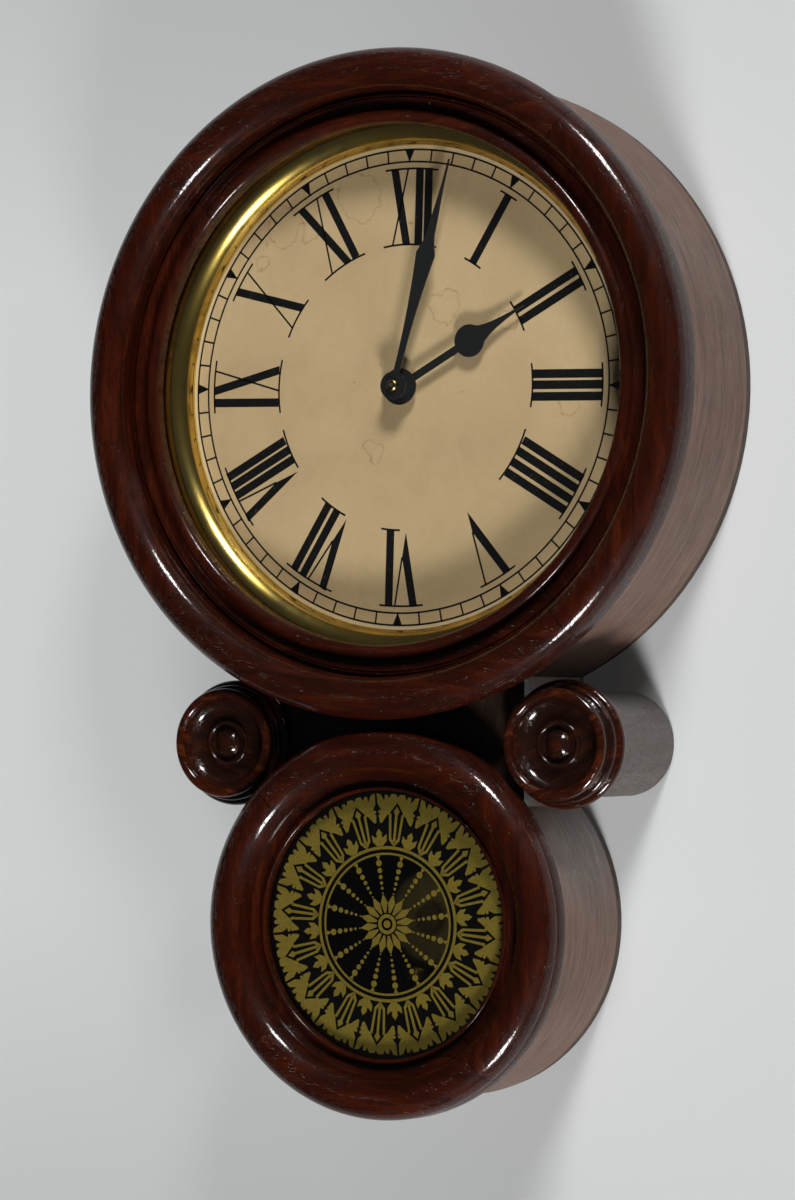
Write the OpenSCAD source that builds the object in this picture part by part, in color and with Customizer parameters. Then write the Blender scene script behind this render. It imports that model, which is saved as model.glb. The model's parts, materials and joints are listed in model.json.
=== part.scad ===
// Figure-eight wall clock: a large round dial door above a small round glass door,
// two turned columns with rosettes at the waist, and a battery pendulum movement.
// The back of the case lies on the wall at Y = 0, the front looks towards -Y, Z is up,
// and the axis of the hands is the Y axis. "Height" below means distance from the wall.

/* [Case] */
// Outer diameter of the upper turned ring
upper_ring_d = 349; // [345:1:352]
// Outer diameter of the lower turned ring
lower_ring_d = 202; // [198:1:205]
// Gap between the two rings' edges
ring_spread = 4.5; // [3.5:0.5:8]
// Depth of the round case sides, wall to front
drum_depth = 83; // [82:1:90]
// How far a ring stands out beyond its drum
ring_overhang = 6.5; // [6:0.5:8]
// Wall thickness of the upper drum
upper_drum_wall = 11; // [10:1:13]
// Wall thickness of the lower drum
lower_drum_wall = 9.5; // [8:0.5:11]
// Thickness of the backboard
board_t = 6; // [5.5:0.5:8]

/* [Doors] */
// Width of the upper ring's moulding, from the opening to the rim
upper_ring_w = 39; // [38:0.5:40]
// Width of the lower ring's moulding, from the opening to the rim
lower_ring_w = 31.5; // [30.5:0.5:32.5]
// Radius of the half-round moulding around each ring
ring_round_r = 11; // [10:0.5:11.5]
// How much less the round of the lower ring stands out
lower_ring_drop = 4; // [3:0.5:4]
// Angles of the four glued joints in the upper ring
upper_seams = [50, 138, 222.5, 310.75]; // [0:0.25:360]
// Angles of the four glued joints in the lower ring
lower_seams = [48, 135, 223, 309.5]; // [0:0.25:360]
// Thickness of both glasses
glass_t = 2; // [1.8:0.1:2.2]

/* [Dial and hands] */
// How far the dial's face lies behind the front of the drum
dial_recess = 15; // [14.5:0.5:15.5]
// How far the brass sight ring stands inside the upper opening: leaves a ten-inch dial
sight_inset = 8.5; // [8:0.5:10]
// Gap between the minute hand's tip and the sight ring
minute_hand_inset = 6; // [3:0.5:12]
// Length of the hour hand from its axis
hour_hand_l = 82; // [75:1:90]
// Minutes past two shown at rest
minutes_shown = 2.6; // [0:0.1:10]

/* [Columns] */
// Gap between a rosette and the upper ring
upper_gap = 2.5; // [2:0.5:5]
// Gap between a rosette and the lower ring
lower_gap = 0.5; // [0.4:0.1:2]
// Diameter of a column
column_d = 55; // [53:1:56]
// Largest diameter of a rosette
rosette_d = 66.4; // [64:0.2:67]
// How far a rosette stands out before the front of the drums
rosette_stand = 8; // [5:0.5:9]

/* [Movement] */
// Width of the movement case
movement_w = 72; // [72:1:78]
// Top of the movement case above the hand axis
movement_top = 36; // [35.5:0.5:40]
// Bottom of the movement case below the hand axis
movement_drop = 72; // [71:0.5:74]
// Depth of the pendulum's pivot below the hand axis
pivot_drop = 38; // [37.5:0.5:39]
// Distance of the pendulum's plane behind the dial's face
pendulum_recess = 16; // [15.5:0.5:16.5]
// Height of the bob's centre above the lower ring's axis
bob_rise = 4; // [0:1:8]
// Diameter of the bob
bob_d = 60; // [56:1:66]

/* [Hidden] */
$fn = 96;

// Clearances
slip = 0.05;          // radial, a shaft that turns in its bore
fixed_gap = 0.03;     // radial, a pin or plug held fast in its hole
door_gap = 0.3;       // between a closed door and the case
free_gap = 0.35;      // between other parts that move past each other
glue_line = 0.25;     // open joint between the pieces of a ring

// Case
upper_ring_r = upper_ring_d / 2;
lower_ring_r = lower_ring_d / 2;
axis_spacing = upper_ring_r + lower_ring_r + ring_spread;
upper_drum_r = upper_ring_r - ring_overhang;
lower_drum_r = lower_ring_r - ring_overhang;
upper_inner_r = upper_drum_r - upper_drum_wall;
lower_inner_r = lower_drum_r - lower_drum_wall;
board_inset = 0.5;
column_bed = 25;      // from a column's axis to the waist panel's end
rosette_r = rosette_d / 2;
to_upper = upper_ring_r + rosette_r + upper_gap;
to_lower = lower_ring_r + rosette_r + lower_gap;
column_drop = (to_upper ^ 2 - to_lower ^ 2 + axis_spacing ^ 2) / (2 * axis_spacing);
column_x = sqrt(to_upper ^ 2 - column_drop ^ 2);
waist_half_w = column_x - column_bed;
cheek_t = 8;
rosette_t = 19;
rosette_height = drum_depth + rosette_stand;
rosette_base = rosette_height - rosette_t;
panel_height = rosette_base;
panel_t = 7;
passage_w = 52;
passage_margin = 11;
column_r = column_d / 2;
wall_relief = 0.5;

// Rings: heights above the drum's front and above the valley of the moulding
upper_opening_r = upper_ring_r - upper_ring_w;
lower_opening_r = lower_ring_r - lower_ring_w;
door_back = drum_depth + door_gap;
rebate_w = 5.7;
glass_seat = door_back + 4.3;
glass_back = glass_seat - glass_t;
putty_w = 3.9;
band_front = drum_depth + 14;
round_height = drum_depth + 13.5;
valley_height = drum_depth + 5.5;
rim_inset = 0.3;
bead_r = 1.6;
bead_rise = 1.2;
bead_gap = 2;
bead_step = 1.6;
hollow_rise = 2.7;
shoulder_rise = 4.6;
lip_rise = 7.5;
lip_r = 3.5;
lower_lip_r = 2.5;
groove_r = 1.2;
groove_rise = 1.8;

// Hinges and catches
hinge_half_l = 11;
knuckle_half_l = 4.5;
knuckle_r = 2;
hinge_pin_r = 1;
knuckle_offset = knuckle_r + 0.4;
hinge_height = drum_depth + door_gap / 2;
leaf_t = 1.1;
leaf_w = 9.5;
screw_r = 1.2;
screw_head_r = 2.4;
screw_head_t = 0.8;
screw_l = 9;
screw_z = 7.5;
stud_r = 1.5;
stud_head_r = 2.2;
stud_reach = 7;
stud_inset = 3.8;
spring_w = 8;
spring_t = 0.6;
spring_gap = 0.3;
spring_bead_r = 0.5;

// Dial
dial_height = drum_depth - dial_recess;
paper_t = 0.4;
dial_board_t = 5.2;
dial_board_r = upper_inner_r - 1.5;
sight_r = upper_opening_r - sight_inset;
sight_t = 0.8;
sight_round_r = 11.2;
sight_tail = 3.8;
dial_paper_r = sight_r + sight_round_r + sight_tail + 2;
dial_screw_r = upper_inner_r - 8.5;
dial_head_r = 2.8;
dial_head_t = 1;
block_w = 16;
block_in = 8;

// Movement case
dial_board_back = dial_height - paper_t - dial_board_t;
washer_t = 0.5;
movement_front = dial_board_back - washer_t;
movement_wall = 1.6;
movement_back = dial_height - 34;
movement_split = dial_height - 20;
cover_inner = movement_back + movement_wall;
base_inner = movement_front - movement_wall;
bush_r = 3.97;
bush_front = dial_height + 2.4;

// Wheels: teeth and modules
motion_module = 0.5;
cannon_teeth = 12;
minute_wheel_teeth = 36;
minute_pinion_teeth = 10;
hour_teeth = 40;
motion_distance = motion_module * (cannon_teeth + minute_wheel_teeth) / 2;
hour_module = 2 * motion_distance / (minute_pinion_teeth + hour_teeth);
train_module = 0.4;
centre_teeth = 64;
third_pinion_teeth = 8;
third_teeth = 60;
seconds_pinion_teeth = 8;
step_module = 0.3;
seconds_teeth = 60;
step_pinion_teeth = 10;
step_teeth = 50;
rotor_teeth = 10;

// Directions, seen from the front, from each axis to the next
minute_wheel_dir = 150;
knob_dir = 180;
third_dir = -20;
seconds_dir = -110;
step_dir = 180;
rotor_dir = 170;

function polar(r, a) = [r * cos(a), r * sin(a)];
minute_at = polar(motion_distance, minute_wheel_dir);
knob_at = minute_at + polar(motion_distance, knob_dir);
third_at = polar(train_module * (centre_teeth + third_pinion_teeth) / 2, third_dir);
seconds_at = third_at + polar(train_module * (third_teeth + seconds_pinion_teeth) / 2, seconds_dir);
step_at = seconds_at + polar(step_module * (seconds_teeth + step_pinion_teeth) / 2, step_dir);
rotor_at = step_at + polar(step_module * (step_teeth + rotor_teeth) / 2, rotor_dir);

// Heights of the wheels, from the front of the movement to its back, by their depths behind the dial
function behind(back, front) = [dial_height - back, dial_height - front];
hour_wheel_h = behind(9.6, 8.2);
minute_pinion_h = behind(10.1, 8.1);
minute_wheel_h = behind(11.8, 10.4);
cannon_h = behind(12.1, 10.1);
centre_h = behind(14.4, 13.2);
third_pinion_h = behind(14.8, 12.8);
third_h = behind(16.6, 15.6);
seconds_pinion_h = behind(16.9, 15.2);
seconds_h = behind(18.8, 18);
step_pinion_h = behind(19.2, 17.6);
step_h = behind(21.2, 20.4);
rotor_h = behind(21.6, 20);
magnet_h = behind(26.2, 23.8);
stator_h = behind(25.8, 24.4);
plate_h = behind(28.6, 27.4);

// Arbors and hand fittings
arbor_r = 0.8;
fine_arbor_r = 0.6;
stud_post_r = 1;
knob_arbor_r = 1.2;
post_r = 2;
minute_shaft_r = 1.5;
minute_tip_r = 1.1;
hour_pipe_r = 2.5;
hour_pipe_front = dial_height + 6;
hour_hand_height = dial_height + 4.2;
hand_spread = 7.2;
minute_hand_height = hour_hand_height + hand_spread;
minute_hand_l = sight_r - minute_hand_inset;
hand_t = 0.8;
nut_t = 2.2;
tip_l = 1;
minute_boss_r = 7.4;
hour_boss_r = 9.6;
minute_angle = 90 - 6 * minutes_shown;
hour_angle = 30 - 0.5 * minutes_shown;

// Plate that carries the wheels, stator and coils
plate_x = [-16, 19.5];
plate_z = [-24, 7];
stator_left = -29.5;
stator_past_rotor = 4.5;
stator_x = [stator_left, rotor_at[0] + stator_past_rotor];
stator_z = [-31, -3];
stator_limb = 3.5;
coil_margin = 1;
rotor_magnet_r = 3;
drive_coil_r = 8;

// Battery bay
battery_r = 7.1;
battery_l = 50.5;
battery_up = 24;
battery_height = dial_height - 24;
bay_wall = 1.2;
bay_front = dial_height - 15.2;
contact_t = 0.5;
contact_w = 10;
service_w = 68;
service_z = [10, 38];
finger_r = 13;

// Pendulum
pendulum_height = dial_height - pendulum_recess;
pendulum_pin_r = 1;
hanger_hub_r = 3.5;
hanger_w = 8;
hanger_t = 3;
hanger_end = 66;
hanger_slot = 58;
magnet_drop = 50;
hanger_magnet_r = 3;
rod_w = 5;
rod_t = 1.2;
bob_drop = axis_spacing - bob_rise;
rod_flat_end = bob_drop - bob_d / 2 - 8;
rod_r = 1.5;
rod_end = bob_drop + bob_d / 2 + 16;
bob_t = 9;
bob_rim = 2;
rating_nut_r = 5;
rating_nut_l = 4;
rod_slot_half_w = 8;

// Hanging plate
hanger_below_rim = 40;
hanger_up = upper_drum_r - hanger_below_rim;
hanger_plate_w = 44;
hanger_plate_h = 32;
hanger_plate_t = 1.6;
keyhole_r = 5;
keyhole_slot_r = 2.2;
keyhole_rise = 9;
pocket_depth = 4.4;
hanger_screw_x = 16;
steady_r = 2.5;
steady_below = 65;
steady_drop = axis_spacing + steady_below;

// Stand a plan, drawn as seen from the front, on the wall plane
module from_wall() rotate([90, 0, 0]) children();

// Extrude a front-view outline between two distances from the wall
module slab(low, high) from_wall() translate([0, 0, low]) linear_extrude(high - low) children();

// Round bar along the hand axis direction at a front-view point
module bar(at, r, low, high) slab(low, high) translate(at) circle(r);

// Turn a profile of [radius, distance from wall] about the axis at a front-view point
module turned(at = [0, 0]) from_wall() translate(at) rotate_extrude() children();

module ring_plan(outer, inner) {
    difference() {
        circle(outer, $fn = 180);
        circle(inner, $fn = 180);
    }
}

lower_at = [0, -axis_spacing];

// Case

module board_plan() {
    circle(upper_drum_r - board_inset, $fn = 180);
    translate(lower_at) circle(lower_drum_r - board_inset, $fn = 180);
    translate([-waist_half_w, -axis_spacing]) square([2 * waist_half_w, axis_spacing / 2]);
}

module service_plan() {
    translate([-service_w / 2, service_z[0]]) square([service_w, service_z[1] - service_z[0]]);
    translate(knob_at) circle(finger_r);
}

module keyhole_plan(extra = 0) {
    circle(keyhole_r + extra);
    translate([-keyhole_slot_r - extra, 0]) square([2 * (keyhole_slot_r + extra), keyhole_rise]);
    translate([0, keyhole_rise]) circle(keyhole_slot_r + extra);
}

module hanger_outline(extra = 0) {
    square([hanger_plate_w + 2 * extra, hanger_plate_h + 2 * extra], center = true);
}

module hanger_screw_places() {
    for (side = [-1, 1]) translate([side * hanger_screw_x, hanger_up]) children();
}

module backboard() {
    color("saddlebrown") difference() {
        slab(0, board_t) board_plan();
        slab(-1, board_t + 1) service_plan();
        slab(-1, hanger_plate_t) translate([0, hanger_up]) hanger_outline(fixed_gap);
        slab(-1, pocket_depth) translate([0, hanger_up]) keyhole_plan(1);
        slab(-1, pocket_depth) hanger_screw_places() circle(screw_r + fixed_gap);
        bar([0, -steady_drop], steady_r, -1, board_t + 1);
    }
}

module drum(outer_r, inner_r, passage_up) {
    difference() {
        slab(board_t, drum_depth) ring_plan(outer_r, inner_r);
        slab(board_t + passage_margin, drum_depth - passage_margin)
            translate([-passage_w / 2, passage_up > 0 ? 0 : -outer_r - 1])
            square([passage_w, outer_r + 1]);
        hinge_case_cut(outer_r);
    }
}

module upper_drum() {
    color("sienna") drum(upper_drum_r, upper_inner_r, -1);
}

module lower_drum() {
    color("sienna") lower() drum(lower_drum_r, lower_inner_r, 1);
}

module lower() translate([0, 0, -axis_spacing]) children();

module between_drums() {
    difference() {
        children();
        circle(upper_drum_r, $fn = 180);
        translate(lower_at) circle(lower_drum_r, $fn = 180);
    }
}

module waist_panel() {
    color("maroon") slab(panel_height - panel_t, panel_height) between_drums()
        translate([-waist_half_w, -axis_spacing]) square([2 * waist_half_w, axis_spacing / 2]);
}

module waist_cheeks() {
    color("maroon") slab(board_t, panel_height - panel_t) between_drums()
        for (left = [-waist_half_w, waist_half_w - cheek_t])
            translate([left, -axis_spacing]) square([cheek_t, axis_spacing / 2]);
}

module at_columns() {
    for (side = [-1, 1]) translate([side * column_x, 0, -column_drop]) children();
}

module columns() {
    color("sienna") difference() {
        at_columns() slab(wall_relief, rosette_base) circle(column_r);
        slab(-1, drum_depth) translate([-waist_half_w, -axis_spacing])
            square([2 * waist_half_w, axis_spacing / 2]);
    }
}

// Half of a rosette's section: stepped base, front rim, dish, inner bead and button
module rosette_profile() {
    base_r = rosette_r;
    edge_r = 3;
    rim_r = 2.6;
    rim_x = base_r - 7;
    ledge = rosette_base + 15;
    dish_r = 7.8;
    dish_x = base_r - 17.7;
    dish_edge = base_r - 10.8;
    dish_c = ledge + sqrt(dish_r ^ 2 - (dish_edge - dish_x) ^ 2);
    well_r = dish_x - 3.3;
    well = dish_c - sqrt(dish_r ^ 2 - (dish_x - well_r) ^ 2);
    bead = 1.1;
    bead_up = 0.3;
    recess = 1;
    button_r = 7.2;
    dome_r = 9;
    dome_up = 0.4;
    above = 2 * rosette_t;
    difference() {
        union() {
            translate([0, rosette_base]) square([base_r - 1.5, 6]);
            translate([base_r - edge_r, rosette_base + edge_r]) circle(edge_r);
            translate([0, rosette_base + 6]) square([base_r - 3.4, 4.4]);
            translate([base_r - 4.6, rosette_base + 8.4]) circle(2);
            translate([0, rosette_base + 10]) square([base_r - 6, ledge - rosette_base - 10]);
            translate([rim_x, rosette_height - rim_r]) circle(rim_r);
        }
        translate([base_r - 2.4, rosette_base + 6.4]) circle(0.9);
        translate([base_r - 4, rosette_base + 12.2]) circle(1.7);
        translate([dish_x, dish_c]) circle(dish_r);
        translate([0, well]) square([well_r, above]);
        translate([button_r, well - recess]) square([well_r - 2 * bead - button_r, above]);
        translate([-base_r, 0]) square([base_r, rosette_height + above]);
    }
    translate([well_r - bead, well + bead_up]) circle(bead);
    intersection() {
        translate([0, well + dome_up - sqrt(dome_r ^ 2 - button_r ^ 2)]) circle(dome_r);
        translate([0, rosette_base]) square([button_r, above]);
    }
}

module rosettes() {
    color("brown") at_columns() turned() rosette_profile();
}

// Dial and sight ring

module dial_blocks() {
    color("burlywood") difference() {
        slab(board_t, dial_board_back) intersection() {
            circle(upper_inner_r, $fn = 180);
            for (a = [45:90:315]) rotate(a) translate([dial_screw_r - block_in, -block_w / 2])
                square([upper_inner_r, block_w]);
        }
        dial_screw_places() circle_hole(screw_r + fixed_gap, board_t + 40, dial_board_back + 1);
    }
}

module dial_screw_places() {
    for (a = [45:90:315]) translate([dial_screw_r * cos(a), 0, dial_screw_r * sin(a)]) children();
}

module circle_hole(r, low, high) slab(low, high) circle(r);

module dial_board() {
    color("tan") difference() {
        slab(dial_board_back, dial_height - paper_t) circle(dial_board_r, $fn = 180);
        circle_hole(bush_r + fixed_gap, dial_board_back - 1, dial_height);
        dial_screw_places() circle_hole(screw_r + fixed_gap, dial_board_back - 1, dial_height);
    }
}

module dial_paper() {
    color("wheat") slab(dial_height - paper_t, dial_height) ring_plan(dial_paper_r, bush_r + fixed_gap);
}

module dial_screws() {
    color("gold") dial_screw_places() {
        slab(dial_height - paper_t, dial_height + dial_head_t) circle(dial_head_r);
        slab(dial_board_back - 6, dial_height - paper_t) circle(screw_r);
    }
}

// Rounded brass moulding, hollow behind: it stands on the dial paper and ends just past its crown
module sight_ring() {
    color("goldenrod") turned() intersection() {
        translate([sight_r + sight_round_r, dial_height]) difference() {
            circle(sight_round_r);
            circle(sight_round_r - sight_t);
        }
        translate([sight_r, dial_height]) square([sight_round_r + sight_tail, sight_round_r]);
    }
}

// Hanging plate

module hanger_plate() {
    color("goldenrod") difference() {
        slab(0, hanger_plate_t) translate([0, hanger_up]) hanger_outline();
        slab(-1, hanger_plate_t + 1) translate([0, hanger_up]) keyhole_plan();
        slab(-1, screw_head_t) hanger_screw_places() circle(screw_head_r + fixed_gap);
        slab(-1, hanger_plate_t + 1) hanger_screw_places() circle(screw_r + fixed_gap);
    }
}

// Hinges: one axis on the left of each door, in the step under the ring's overhang

module upright(x, height, r, low, high) {
    translate([x, -height, low]) cylinder(r = r, h = high - low);
}

function hinge_x(drum_r) = -(drum_r + knuckle_offset);

module leaf_plan(drum_r, bridge_low, bridge_high) {
    translate([0.2 - drum_r, -hinge_half_l]) square([leaf_w, 2 * hinge_half_l]);
    for (side = [-1, 1]) translate([hinge_x(drum_r), side > 0 ? bridge_low : -bridge_high])
        square([knuckle_offset + 1, bridge_high - bridge_low]);
}

module hinge_screw_places(drum_r) {
    for (side = [-1, 1]) translate([leaf_w / 2 + 0.4 - drum_r, 0, side * screw_z]) children();
}

module hinge_case_leaf(drum_r) {
    difference() {
        union() {
            slab(drum_depth - leaf_t, drum_depth) leaf_plan(drum_r, 0, knuckle_half_l);
            upright(hinge_x(drum_r), hinge_height, knuckle_r, -knuckle_half_l, knuckle_half_l);
        }
        upright(hinge_x(drum_r), hinge_height, hinge_pin_r + slip, -20, 20);
        hinge_screw_places(drum_r) {
            circle_hole(screw_r + fixed_gap, drum_depth - 4, drum_depth + 1);
            circle_hole(screw_head_r + fixed_gap, drum_depth - screw_head_t, drum_depth + 1);
        }
    }
}

// Mortise and screw holes in the drum's front edge
module hinge_case_cut(drum_r) {
    slab(drum_depth - leaf_t, drum_depth + 1) translate([-drum_r - 1, -hinge_half_l - fixed_gap])
        square([leaf_w + 1.2 + fixed_gap, 2 * (hinge_half_l + fixed_gap)]);
    hinge_screw_places(drum_r) circle_hole(screw_r + fixed_gap, drum_depth - screw_l - 1, drum_depth + 1);
}

module hinge_case_leaves() {
    color("goldenrod") {
        hinge_case_leaf(upper_drum_r);
        lower() hinge_case_leaf(lower_drum_r);
    }
}

module hinge_case_screw_pair(drum_r) {
    hinge_screw_places(drum_r) {
        slab(drum_depth - screw_head_t, drum_depth) circle(screw_head_r);
        slab(drum_depth - screw_l, drum_depth - screw_head_t) circle(screw_r);
    }
}

module case_screws() {
    color("goldenrod") {
        slab(0, screw_head_t) hanger_screw_places() circle(screw_head_r);
        slab(screw_head_t, pocket_depth) hanger_screw_places() circle(screw_r);
        hinge_case_screw_pair(upper_drum_r);
        lower() hinge_case_screw_pair(lower_drum_r);
    }
}

module door_leaf(drum_r) {
    knuckle_low = knuckle_half_l + 0.3;
    color("goldenrod") difference() {
        union() {
            slab(door_back, door_back + leaf_t) leaf_plan(drum_r, knuckle_low, hinge_half_l);
            for (low = [-hinge_half_l, knuckle_low])
                upright(hinge_x(drum_r), hinge_height, knuckle_r, low, low + hinge_half_l - knuckle_low);
            upright(hinge_x(drum_r), hinge_height, hinge_pin_r, -hinge_half_l, hinge_half_l);
        }
        hinge_screw_places(drum_r) {
            circle_hole(screw_r + fixed_gap, door_back - 1, door_back + 4);
            circle_hole(screw_head_r + fixed_gap, door_back - 1, door_back + screw_head_t);
        }
    }
}

module door_screws(drum_r) {
    color("goldenrod") hinge_screw_places(drum_r) {
        slab(door_back, door_back + screw_head_t) circle(screw_head_r);
        slab(door_back + screw_head_t, door_back + screw_l) circle(screw_r);
    }
}

// Room in the ring for the leaf, the knuckles, the screws and the catch stud
module door_cut(drum_r, inner_r) {
    pocket_r = knuckle_r + free_gap;
    slab(door_back - 1, door_back + leaf_t) translate([-drum_r - 1, -hinge_half_l - fixed_gap])
        square([leaf_w + 1.2 + fixed_gap, 2 * (hinge_half_l + fixed_gap)]);
    upright(hinge_x(drum_r), hinge_height, pocket_r, -hinge_half_l - 0.3, hinge_half_l + 0.3);
    slab(door_back - 1, door_back + leaf_t) translate([hinge_x(drum_r), -hinge_half_l - 0.3])
        square([knuckle_offset + 1, 2 * hinge_half_l + 0.6]);
    hinge_screw_places(drum_r) circle_hole(screw_r + fixed_gap, door_back - 1, door_back + screw_l + 1);
    bar([inner_r - stud_inset, 0], stud_r + fixed_gap, door_back - 1, door_back + stud_reach);
}

// Catches: a headed stud on the door passes a bent spring strip on the drum's inner wall

module catch_stud(inner_r) {
    at = [inner_r - stud_inset, 0];
    color("goldenrod") {
        bar(at, stud_r, door_back - stud_reach, door_back + stud_reach - 1);
        bar(at, stud_head_r, door_back - stud_reach, door_back - stud_reach + 3);
    }
}

module catch_spring(inner_r) {
    outside = inner_r - spring_gap;
    slab(dial_height + 1, drum_depth - 1) translate([outside - spring_t, -spring_w / 2])
        square([spring_t, spring_w]);
    upright(outside - spring_bead_r, drum_depth - 8, spring_bead_r, -spring_w / 2, spring_w / 2);
}

module catch_springs() {
    color("goldenrod") {
        catch_spring(upper_inner_r);
        lower() catch_spring(lower_inner_r);
    }
}

// Turned rings: section from the glass opening out to the rim
module bezel_profile(outer_r, opening_r, lip, drop) {
    round_c = outer_r - rim_inset - ring_round_r;
    bead_x = round_c - ring_round_r - bead_gap;
    room = bead_x - opening_r - 2 * lip;
    hollow_r = 0.85 * room;
    hollow_x = bead_x - room / 2 + rim_inset;
    lip_c = valley_height + lip_rise - lip;
    difference() {
        union() {
            translate([opening_r, door_back])
                square([outer_r - 0.6 * ring_round_r - opening_r, valley_height - door_back]);
            translate([round_c, door_back]) square([outer_r - round_c, band_front - drop - door_back]);
            translate([round_c - 0.94 * ring_round_r, door_back])
                square([ring_round_r, round_height - drop - door_back]);
            translate([round_c, round_height - drop]) circle(ring_round_r);
            translate([bead_x, valley_height + bead_rise]) circle(bead_r);
            translate([opening_r + lip, lip_c]) circle(lip);
            translate([opening_r, door_back]) square([2 * lip, lip_c - door_back]);
            translate([opening_r + lip, door_back])
                square([bead_x - opening_r - lip, valley_height + shoulder_rise - door_back]);
        }
        translate([hollow_x, valley_height + hollow_rise + hollow_r]) circle(hollow_r);
        translate([bead_x + bead_r / 8, valley_height + bead_rise + 1])
            square([bead_gap - bead_r / 6, lip_rise]);
        translate([bead_x - bead_rise, valley_height + hollow_rise]) square([bead_step, lip_rise]);
        translate([outer_r + groove_r / 6, round_height - drop + groove_rise]) circle(groove_r);
        translate([opening_r - 1, door_back - 1]) square([rebate_w + 1, glass_seat - door_back + 1]);
        translate([opening_r, door_back - ring_round_r]) square([outer_r, ring_round_r]);
    }
}

module bezel(outer_r, opening_r, lip, drop, seams, drum_r, inner_r) {
    half_line = glue_line / 2 / outer_r * 180 / PI;
    color("brown") difference() {
        for (i = [0:3]) {
            next = seams[(i + 1) % 4] + (i == 3 ? 360 : 0);
            from_wall() rotate(seams[i] + half_line) rotate_extrude(angle = next - seams[i] - 2 * half_line)
                bezel_profile(outer_r, opening_r, lip, drop);
        }
        door_cut(drum_r, inner_r);
    }
}

module upper_bezel() {
    bezel(upper_ring_r, upper_opening_r, lip_r, 0, upper_seams, upper_drum_r, upper_inner_r);
}

module lower_bezel() {
    lower() bezel(lower_ring_r, lower_opening_r, lower_lip_r, lower_ring_drop, lower_seams, lower_drum_r,
        lower_inner_r);
}

module glass_disc(opening_r) {
    color("lightblue", 0.4) slab(glass_back, glass_seat) circle(opening_r + rebate_w - 0.4, $fn = 180);
}

module upper_glass() glass_disc(upper_opening_r);

module tablet_glass() lower() glass_disc(lower_opening_r);

module putty(opening_r) {
    outer = opening_r + rebate_w - fixed_gap;
    color("dimgray") turned() polygon([
        [outer - putty_w, glass_back], [outer, door_back + 0.6], [outer, glass_back]
    ]);
}

module upper_putty() putty(upper_opening_r);

module lower_putty() lower() putty(lower_opening_r);

module upper_door_leaf() door_leaf(upper_drum_r);

module lower_door_leaf() lower() door_leaf(lower_drum_r);

module upper_door_screws() door_screws(upper_drum_r);

module lower_door_screws() lower() door_screws(lower_drum_r);

module upper_catch_stud() catch_stud(upper_inner_r);

module lower_catch_stud() lower() catch_stud(lower_inner_r);

// Movement case

module case_plan(inset = 0) {
    translate([inset - movement_w / 2, inset - movement_drop])
        square([movement_w - 2 * inset, movement_top + movement_drop - 2 * inset]);
}

module bay_plan(extra = 0) {
    half_l = battery_l / 2 + free_gap + contact_t + 0.3 + extra;
    half_h = battery_r + free_gap + extra;
    translate([-half_l, battery_up - half_h]) square([2 * half_l, 2 * half_h]);
}

// Post on the front wall with a blind bearing for an arbor's front end
module front_socket(at, r, arbor, low) {
    difference() {
        bar(at, r, low, base_inner + 0.5);
        bar(at, arbor + slip, low - 1, low + 2);
    }
}

module movement_base() {
    color("dimgray") {
        difference() {
            slab(movement_split, movement_front) case_plan();
            slab(movement_split - 1, base_inner) case_plan(movement_wall);
            bar([0, 0], bush_r + fixed_gap, base_inner - 1, movement_front + 1);
            slab(movement_split - 1, pendulum_height + 3.5)
                translate([-rod_slot_half_w, -movement_drop - 1])
                square([2 * rod_slot_half_w, movement_wall + 2]);
        }
        bar(minute_at, stud_post_r, minute_wheel_h[0] - 0.6, base_inner + 0.5);
        front_socket(third_at, post_r, arbor_r, third_pinion_h[1] + 1.2);
        front_socket(seconds_at, post_r, arbor_r, seconds_pinion_h[1] + 0.5);
        front_socket(step_at, post_r, arbor_r, step_pinion_h[1] + 0.5);
        front_socket(rotor_at, post_r, fine_arbor_r, rotor_h[1] + 0.5);
        difference() {
            bar(knob_at, post_r + 0.4, cannon_h[1] + 0.5, base_inner + 0.5);
            bar(knob_at, knob_arbor_r + slip, cannon_h[1] - 1, base_inner - 0.3);
        }
        difference() {
            bar([0, -pivot_drop], 3, pendulum_height + 5.4, base_inner + 0.5);
            bar([0, -pivot_drop], pendulum_pin_r + fixed_gap, pendulum_height, base_inner);
        }
    }
}

plate_bosses = [[-13.5, 4], [16.5, 4], [16.5, -21]];
board_x = [20.5, 33];
board_z = [-32, 6];
board_h = behind(29.6, 28.4);

module movement_cover() {
    color("dimgray") difference() {
        union() {
            difference() {
                slab(movement_back, movement_split) case_plan();
                slab(cover_inner, movement_split + 1) case_plan(movement_wall);
            }
            slab(movement_back, bay_front) bay_plan(bay_wall);
            for (at = plate_bosses) bar(at, 2.2, movement_back + 1, plate_h[0]);
            for (z = [stator_z[0] + 2, stator_z[1] - 2])
                bar([(stator_x[0] + stator_x[1]) / 2, z], 1.8, movement_back + 1, stator_h[0]);
            for (z = [board_z[0] + 3, board_z[1] - 3])
                bar([(board_x[0] + board_x[1]) / 2, z], 2, movement_back + 1, board_h[0]);
            bar([0, -magnet_drop], 4, movement_back + 1, magnet_h[0] - 1);
            bar([0, -pivot_drop], 3, movement_back + 1, pendulum_height - 5.4);
        }
        slab(movement_back - 1, bay_front - bay_wall) bay_plan();
        bar(knob_at, knob_arbor_r + slip, movement_back - 1, cover_inner + 1);
        bar([0, -pivot_drop], pendulum_pin_r + fixed_gap, cover_inner, pendulum_height);
    }
}

module movement_bush() {
    color("goldenrod") slab(base_inner, bush_front) ring_plan(bush_r, hour_pipe_r + slip);
}

module movement_nut() {
    color("goldenrod") slab(dial_height, dial_height + 2) difference() {
        circle(7.6, $fn = 6);
        circle(bush_r + fixed_gap);
    }
}

module movement_washer() {
    color("black") slab(movement_front, dial_board_back) ring_plan(9, bush_r + fixed_gap);
}

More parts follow.
